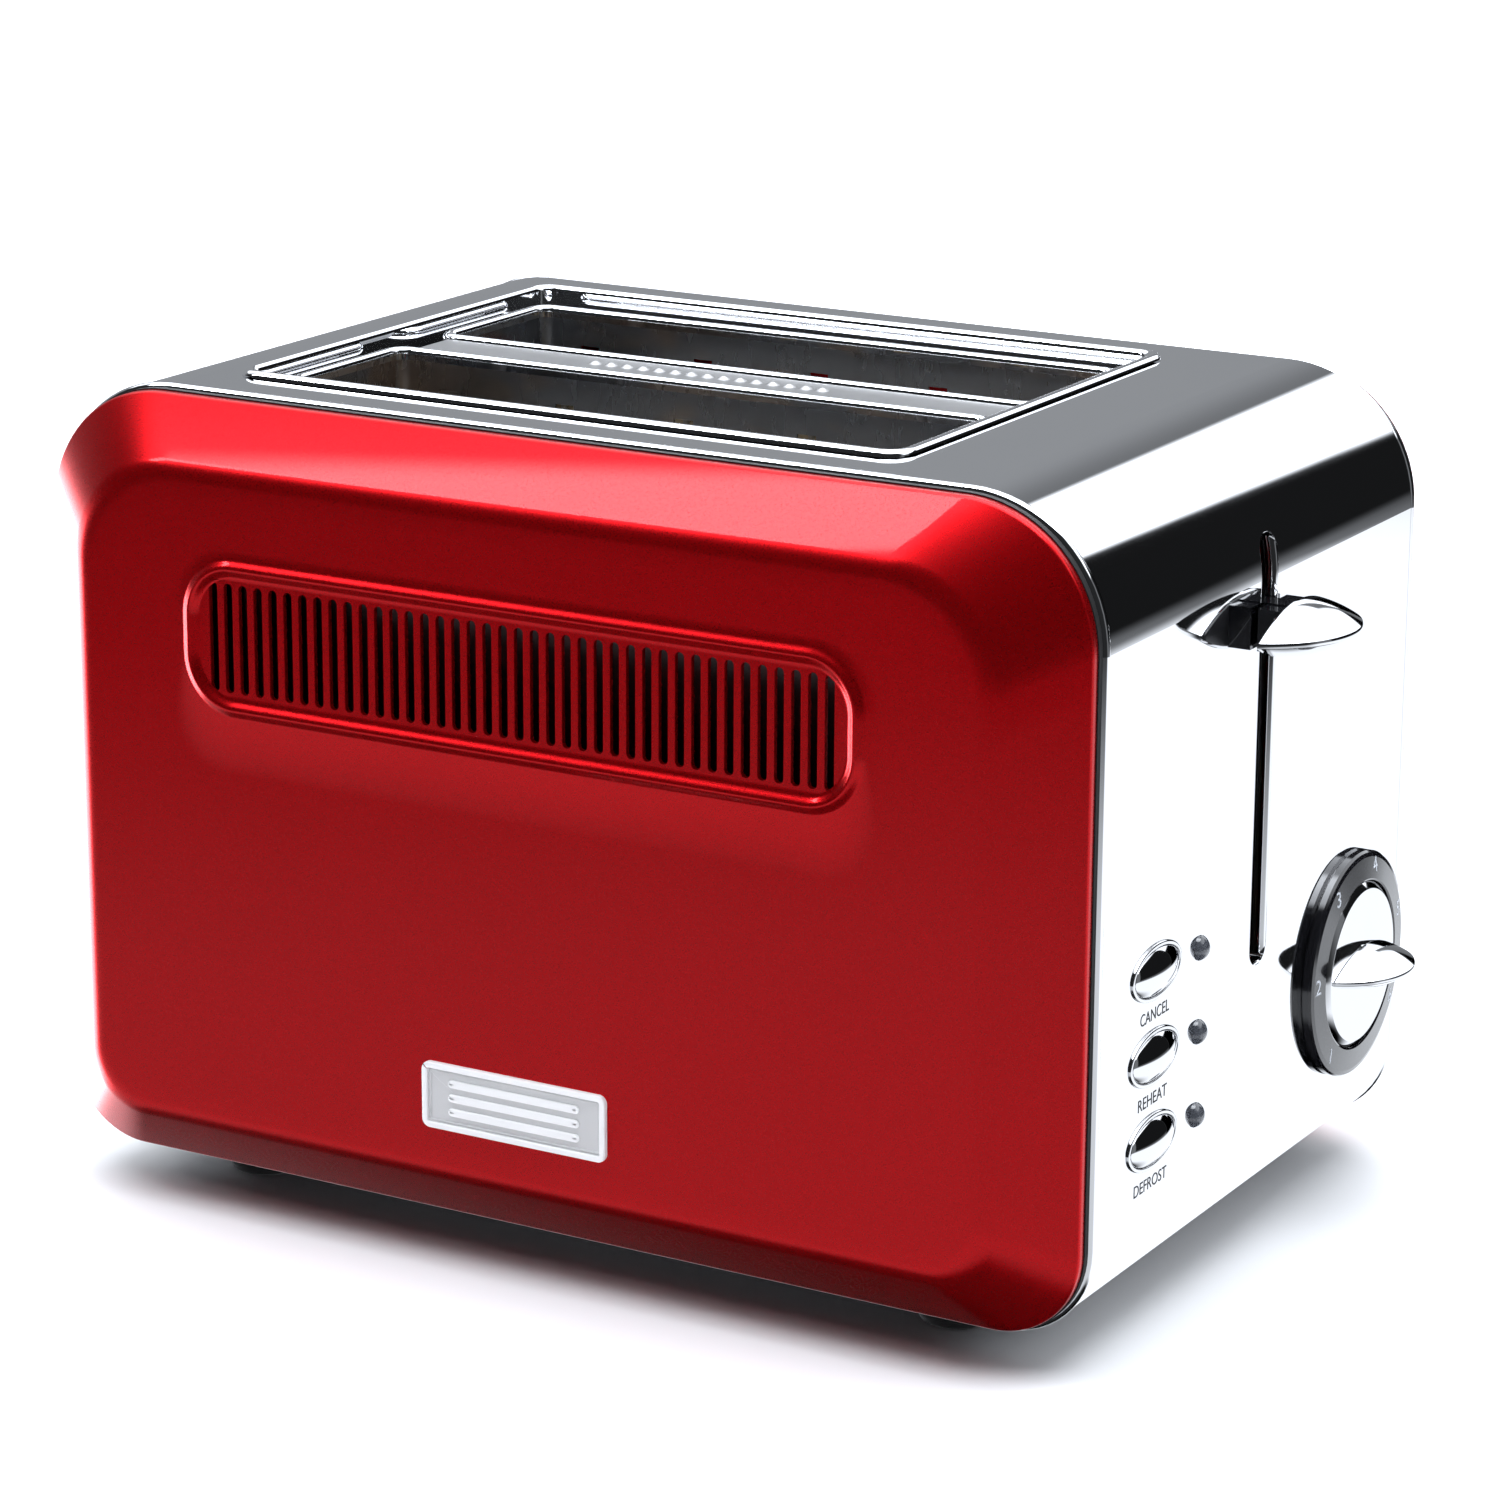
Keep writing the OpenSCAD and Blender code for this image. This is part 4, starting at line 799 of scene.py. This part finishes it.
def button(name, node):
    """Oval push button: a collar, a straight skirt and a crown, whose height = crown x (1 - s^2)^0.9 at a
    share s of the way to its edge. A round stem reaches inwards."""
    low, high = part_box(node)
    centre = (end_x, (low.y + high.y) / 2, (low.z + high.z) / 2)
    collar = 1.0 * mm
    half_y, half_z = (high.y - low.y) / 2 - collar, (high.z - low.z) / 2 - collar
    crown = high.x - end_x
    t = np.linspace(0, 1, 14)
    shoulder = 0.4 * mm
    a = np.linspace(0, 2 * np.pi, 96, endpoint=False)
    share = np.cos(t * np.pi / 2)[:, None]
    x = end_x + shoulder + (crown - shoulder) * (1 - share ** 2) ** 0.9
    y = centre[1] + half_y * share * np.cos(a)
    z = centre[2] + half_z * share * np.sin(a)
    dome = np.stack([x + 0 * a, y, z], -1)
    skirt = oval(np.array([(1.0, -4.8), (1.0, -3.8), (0.0, -3.8), (0.0, 0.4)]) * mm, centre, half_y, half_z)
    stem_back, stem_front, stem_r = low.x - end_x, -4.8 * mm, 2.5 * mm
    stem = turned(np.array([(0.0, stem_back), (stem_r, stem_back), (stem_r, stem_front)]), centre, len(a))
    skin = Skin()
    for part in (skirt, dome, stem, np.stack([stem[-1], skirt[0]])):
        skin.add(part, closed_columns=True)
    skin.piece(name, node, PLATED_TRIM, "chrome", [node])
    return centre, half_y, half_z


def bezel(spot, half_y, half_z):
    """Plated ring round a button: a profile with a rolled lip carried round the oval."""
    gap, wall, lip = 0.25 * mm, 0.5 * mm, 0.5 * mm
    back, front, seat = -3.5 * mm, 0.5 * mm, 0.02 * mm
    outside, edge = gap + wall, gap + wall + lip
    profile = filleted(
        [(gap, back), (gap, front), (edge, front), (edge, seat), (outside, seat), (outside, back)],
        (0.2 * mm, 0.35 * mm, 0.05 * mm, 0.05 * mm), 4,
    )
    return oval(profile, spot, half_y, half_z)


def wording(name, words, height, centre, ink, width=None):
    """Flat letters that face +X: cut from a text curve, made a mesh, then laid on the end face.
    The letters' own x runs along +Y and their y along +Z."""
    proud = 0.05 * mm
    curve = bpy.data.curves.new(name, "FONT")
    curve.body = words
    curve.align_x = "CENTER"
    curve.align_y = "CENTER"
    curve.extrude = 0.5
    curve.resolution_u = 6
    stand_in = bpy.data.objects.new(name + "_curve", curve)
    bpy.context.scene.collection.objects.link(stand_in)
    bpy.context.view_layer.update()
    mesh = bpy.data.meshes.new_from_object(stand_in.evaluated_get(bpy.context.evaluated_depsgraph_get()))
    bpy.data.objects.remove(stand_in)
    co = np.zeros(len(mesh.vertices) * 3)
    mesh.vertices.foreach_get("co", co)
    co = co.reshape(-1, 3)
    low, high = co.min(0), co.max(0)
    middle = (low + high) / 2
    tall = height / (high[1] - low[1])
    wide = tall if width is None else width / (high[0] - low[0])
    flat = (co - middle) * [wide, tall, 1.0]
    x = np.where(flat[:, 2] > 0, proud, -proud)
    placed = np.stack([centre[0] + x, centre[1] + flat[:, 0], centre[2] + flat[:, 1]], 1)
    mesh.vertices.foreach_set("co", placed.ravel())
    mesh.materials.clear()
    mesh.materials.append(ink)
    mesh.name = name
    return bpy.data.objects.new(name, mesh)


def controls():
    """The three buttons with their bezels and words."""
    rings = Skin()
    letters, drop = 2.7 * mm, 9.3 * mm
    words = {"button_upper": ("CANCEL", 14 * mm), "button_middle": ("REHEAT", 14 * mm),
             "button_lower": ("DEFROST", 16 * mm)}
    for node, (word, width) in words.items():
        spot, half_y, half_z = button(node + "_cap", node)
        rings.add(bezel(spot, half_y, half_z), closed_columns=True, closed_rows=True)
        label = (end_x, spot[1], spot[2] - drop)
        piece = wording(node + "_word", word, letters, label, BLACK_PRINT, width)
        place(piece, "shell")
    rings.piece("button_rings", "shell", PLATED_TRIM, "chrome", ["button_bezels"])


# ------------------------------------------------------------------ browning dial

def dial_scale():
    """White numbers on the ring, upright, each laid on the ring's cone."""
    reach, first, apart, digits = 23.2 * mm, 231, 53, 3.6 * mm
    inner, outer = 19.7 * mm, 25 * mm
    inner_out, outer_out, least = 3.5 * mm, 2.9 * mm, 2.6 * mm
    for number in range(1, 7):
        angle = math.radians(first - apart * (number - 1))
        spot = (end_x, dial_y + reach * math.cos(angle), dial_z + reach * math.sin(angle))
        piece = wording("dial_number_%d" % number, str(number), digits, spot, WHITE_PRINT)
        vertices = piece.data.vertices
        co = np.zeros(len(vertices) * 3)
        vertices.foreach_get("co", co)
        co = co.reshape(-1, 3)
        away = np.hypot(co[:, 1] - dial_y, co[:, 2] - dial_z)
        cone = inner_out + (away - inner) / (outer - inner) * (outer_out - inner_out)
        co[:, 0] += np.clip(cone, least, inner_out)
        vertices.foreach_set("co", co.ravel())
        place(piece, "shell")


def dial_knob():
    """Plated knob: a turned disc with a rounded bevel, and a half-lens wing across it."""
    radius = (dial_high.z - dial_low.z) / 2
    back, out, bevel_deep, bevel_wide = 0.6 * mm, 4.0 * mm, 1.1 * mm, 1.4 * mm
    profile = filleted(
        [(0.0, back), (radius, back), (radius, out - bevel_deep), (radius - bevel_wide, out), (0.0, out)],
        (0.1 * mm, 0.25 * mm, 0.5 * mm), 5,
    )
    skin = Skin().add(turned(profile, dial_centre, 160), closed_columns=True)
    skin.piece("dial_disc", "dial", PLATED_TRIM, "chrome", ["dial_knob"])
    wing_side, wing_thick, wing_rim, sunk = 17 * mm, 9.2 * mm, 0.9 * mm, 0.05 * mm
    front = end_x + out
    wing_reach = dial_high.x - front
    wing = half_lens(Skin(), front - sunk, dial_y, dial_z, wing_reach, wing_side, wing_thick, wing_rim)
    wing.piece("dial_wing", "dial", PLATED_TRIM, "chrome")


def lift_spring():
    """Round wire carried along a helix: the wire's circle stands across the helix at each step. Its ends are
    drawn in to a point on the helix's own line. It hangs from the bracket."""
    wire = 0.5 * mm
    middle = (spring_low + spring_high) / 2
    radius = (spring_high.x - spring_low.x) / 2 - wire
    turns, steps, sides = 14, 24, 10
    t = np.linspace(0, 1, turns * steps + 1)[:, None]
    a = 2 * np.pi * turns * t
    b = np.linspace(0, 2 * np.pi, sides, endpoint=False)[None, :]
    thick = wire * np.ones_like(t)
    thick[[0, -1]] = 0
    out = radius + thick * np.cos(b)
    z = spring_low.z + wire + (spring_high.z - spring_low.z - 2 * wire) * t + thick * np.sin(b)
    coil = np.stack([middle.x + out * np.cos(a), middle.y + out * np.sin(a), z], -1)
    piece = Skin().add(coil, closed_columns=True).piece(
        "lift_coil", None, FINISHES["wire_steel"], "wire_steel", ["lift_spring"])
    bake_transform(piece)


# ------------------------------------------------------------------ studio

def camera():
    """Long lens from the right of the front, a little above."""
    turn, rise, roll = math.radians(30.03), math.radians(15.73), math.radians(0.26)
    target, away = Vector((-0.0035, -0.0013, 0.1009)), 1.1257
    back = Vector((math.sin(turn) * math.cos(rise), -math.cos(turn) * math.cos(rise), math.sin(rise)))
    right = Vector((math.cos(turn), math.sin(turn), 0))
    up = back.cross(right)
    across = right * math.cos(roll) + up * math.sin(roll)
    above = up * math.cos(roll) - right * math.sin(roll)
    lens = bpy.data.cameras.new("camera")
    lens.lens = 116.6
    lens.sensor_width = 36
    lens.clip_start, lens.clip_end = 0.05, 100
    view = bpy.data.objects.new("camera", lens)
    spot = Matrix((across, above, back)).transposed().to_4x4()
    spot.translation = target + back * away
    view.matrix_world = spot
    bpy.context.scene.collection.objects.link(view)
    bpy.context.scene.camera = view


def surroundings():
    """Studio round the toaster as a function of direction: dim walls, a white sweep below the horizon at the
    back and a brighter one on the left, a bright wall behind with a grey panel low on its left and a dark one
    on its right, a soft light high on the left of the front, and a wide soft light overhead."""
    world = bpy.data.worlds.new("studio")
    bpy.context.scene.world = world
    f = Finish(world)
    x, y, z = f.axes(f.node("ShaderNodeTexCoord").outputs["Generated"])
    bearing = x.maths("ARCTAN2", y) * (180 / math.pi)
    height = z.maths("ARCSINE") * (180 / math.pi)
    behind = y.ramp(-0.25, 0.15)
    below = 1 - height.ramp(-13.5, -10.5)
    under = 1 - height.ramp(-52, -38)
    grey = 0.3 - 0.12 * bearing.ramp(-26, -10)
    high_wall, gap = height.ramp(29, 33), bearing.band(-9, 21, 1.5)
    bright = 1.7 * high_wall + (1 - high_wall) * gap * height.ramp(12, 15) * 1.7
    wall = grey * (1 - below) * (1 - gap) + bright
    flag = 1 - bearing.band(20.5, 70, 0.8) * height.band(-9, 33, 3) * 0.95
    back_side = (wall * flag + below * (1 - under) * 1.2) * behind
    front_floor = (1 - height.ramp(-18.5, -14)) * (1 - under) * 0.66
    front_side = (0.02 + front_floor) * (1 - behind)
    left = bearing.band(-108, -60, 4) * height.band(-31, -5, 4) * 10
    key_sides = bearing.ramp(-126.2, -125.2) * (1 - bearing.ramp(-119.3, -116.6))
    key = key_sides * height.band(34, 66, 1.5) * 17
    top = height.ramp(58, 64) * 5
    total = back_side + front_side + left + key + top
    glow = f.node("ShaderNodeBackground", None, Color=tone(0.93, 0.97, 1.03), Strength=total)
    f.node("ShaderNodeOutputWorld", None, glow.outputs[0])


def studio():
    """White floor, and the surroundings that light the toaster and show in its plating."""
    mesh = bpy.data.meshes.new("floor")
    mesh.from_pydata([(-30, -30, 0), (30, -30, 0), (30, 30, 0), (-30, 30, 0)], [], [(0, 1, 2, 3)])
    floor = bpy.data.objects.new("floor", mesh)
    bpy.context.scene.collection.objects.link(floor)
    f = finish("floor_white")
    drift = f.noise(f.place(), 0.5, 2.0)
    mesh.materials.append(f.surface(
        Base_Color=f.blend(drift, tone(0.93, 0.93, 0.94), tone(0.95, 0.95, 0.95)), Roughness=0.8,
        Specular_IOR_Level=0.0,
    ))
    floor.visible_glossy = False
    surroundings()
    bpy.context.scene.view_settings.view_transform = "Standard"


# ------------------------------------------------------------------ the toaster

camera()
dress_frame()
painted_panel("panel_front", -1)
painted_panel("panel_rear", 1)
badge()
slot_bar()
lever_knob()
lever_slot_lip()
controls()
dial_scale()
dial_knob()
lift_spring()
studio()
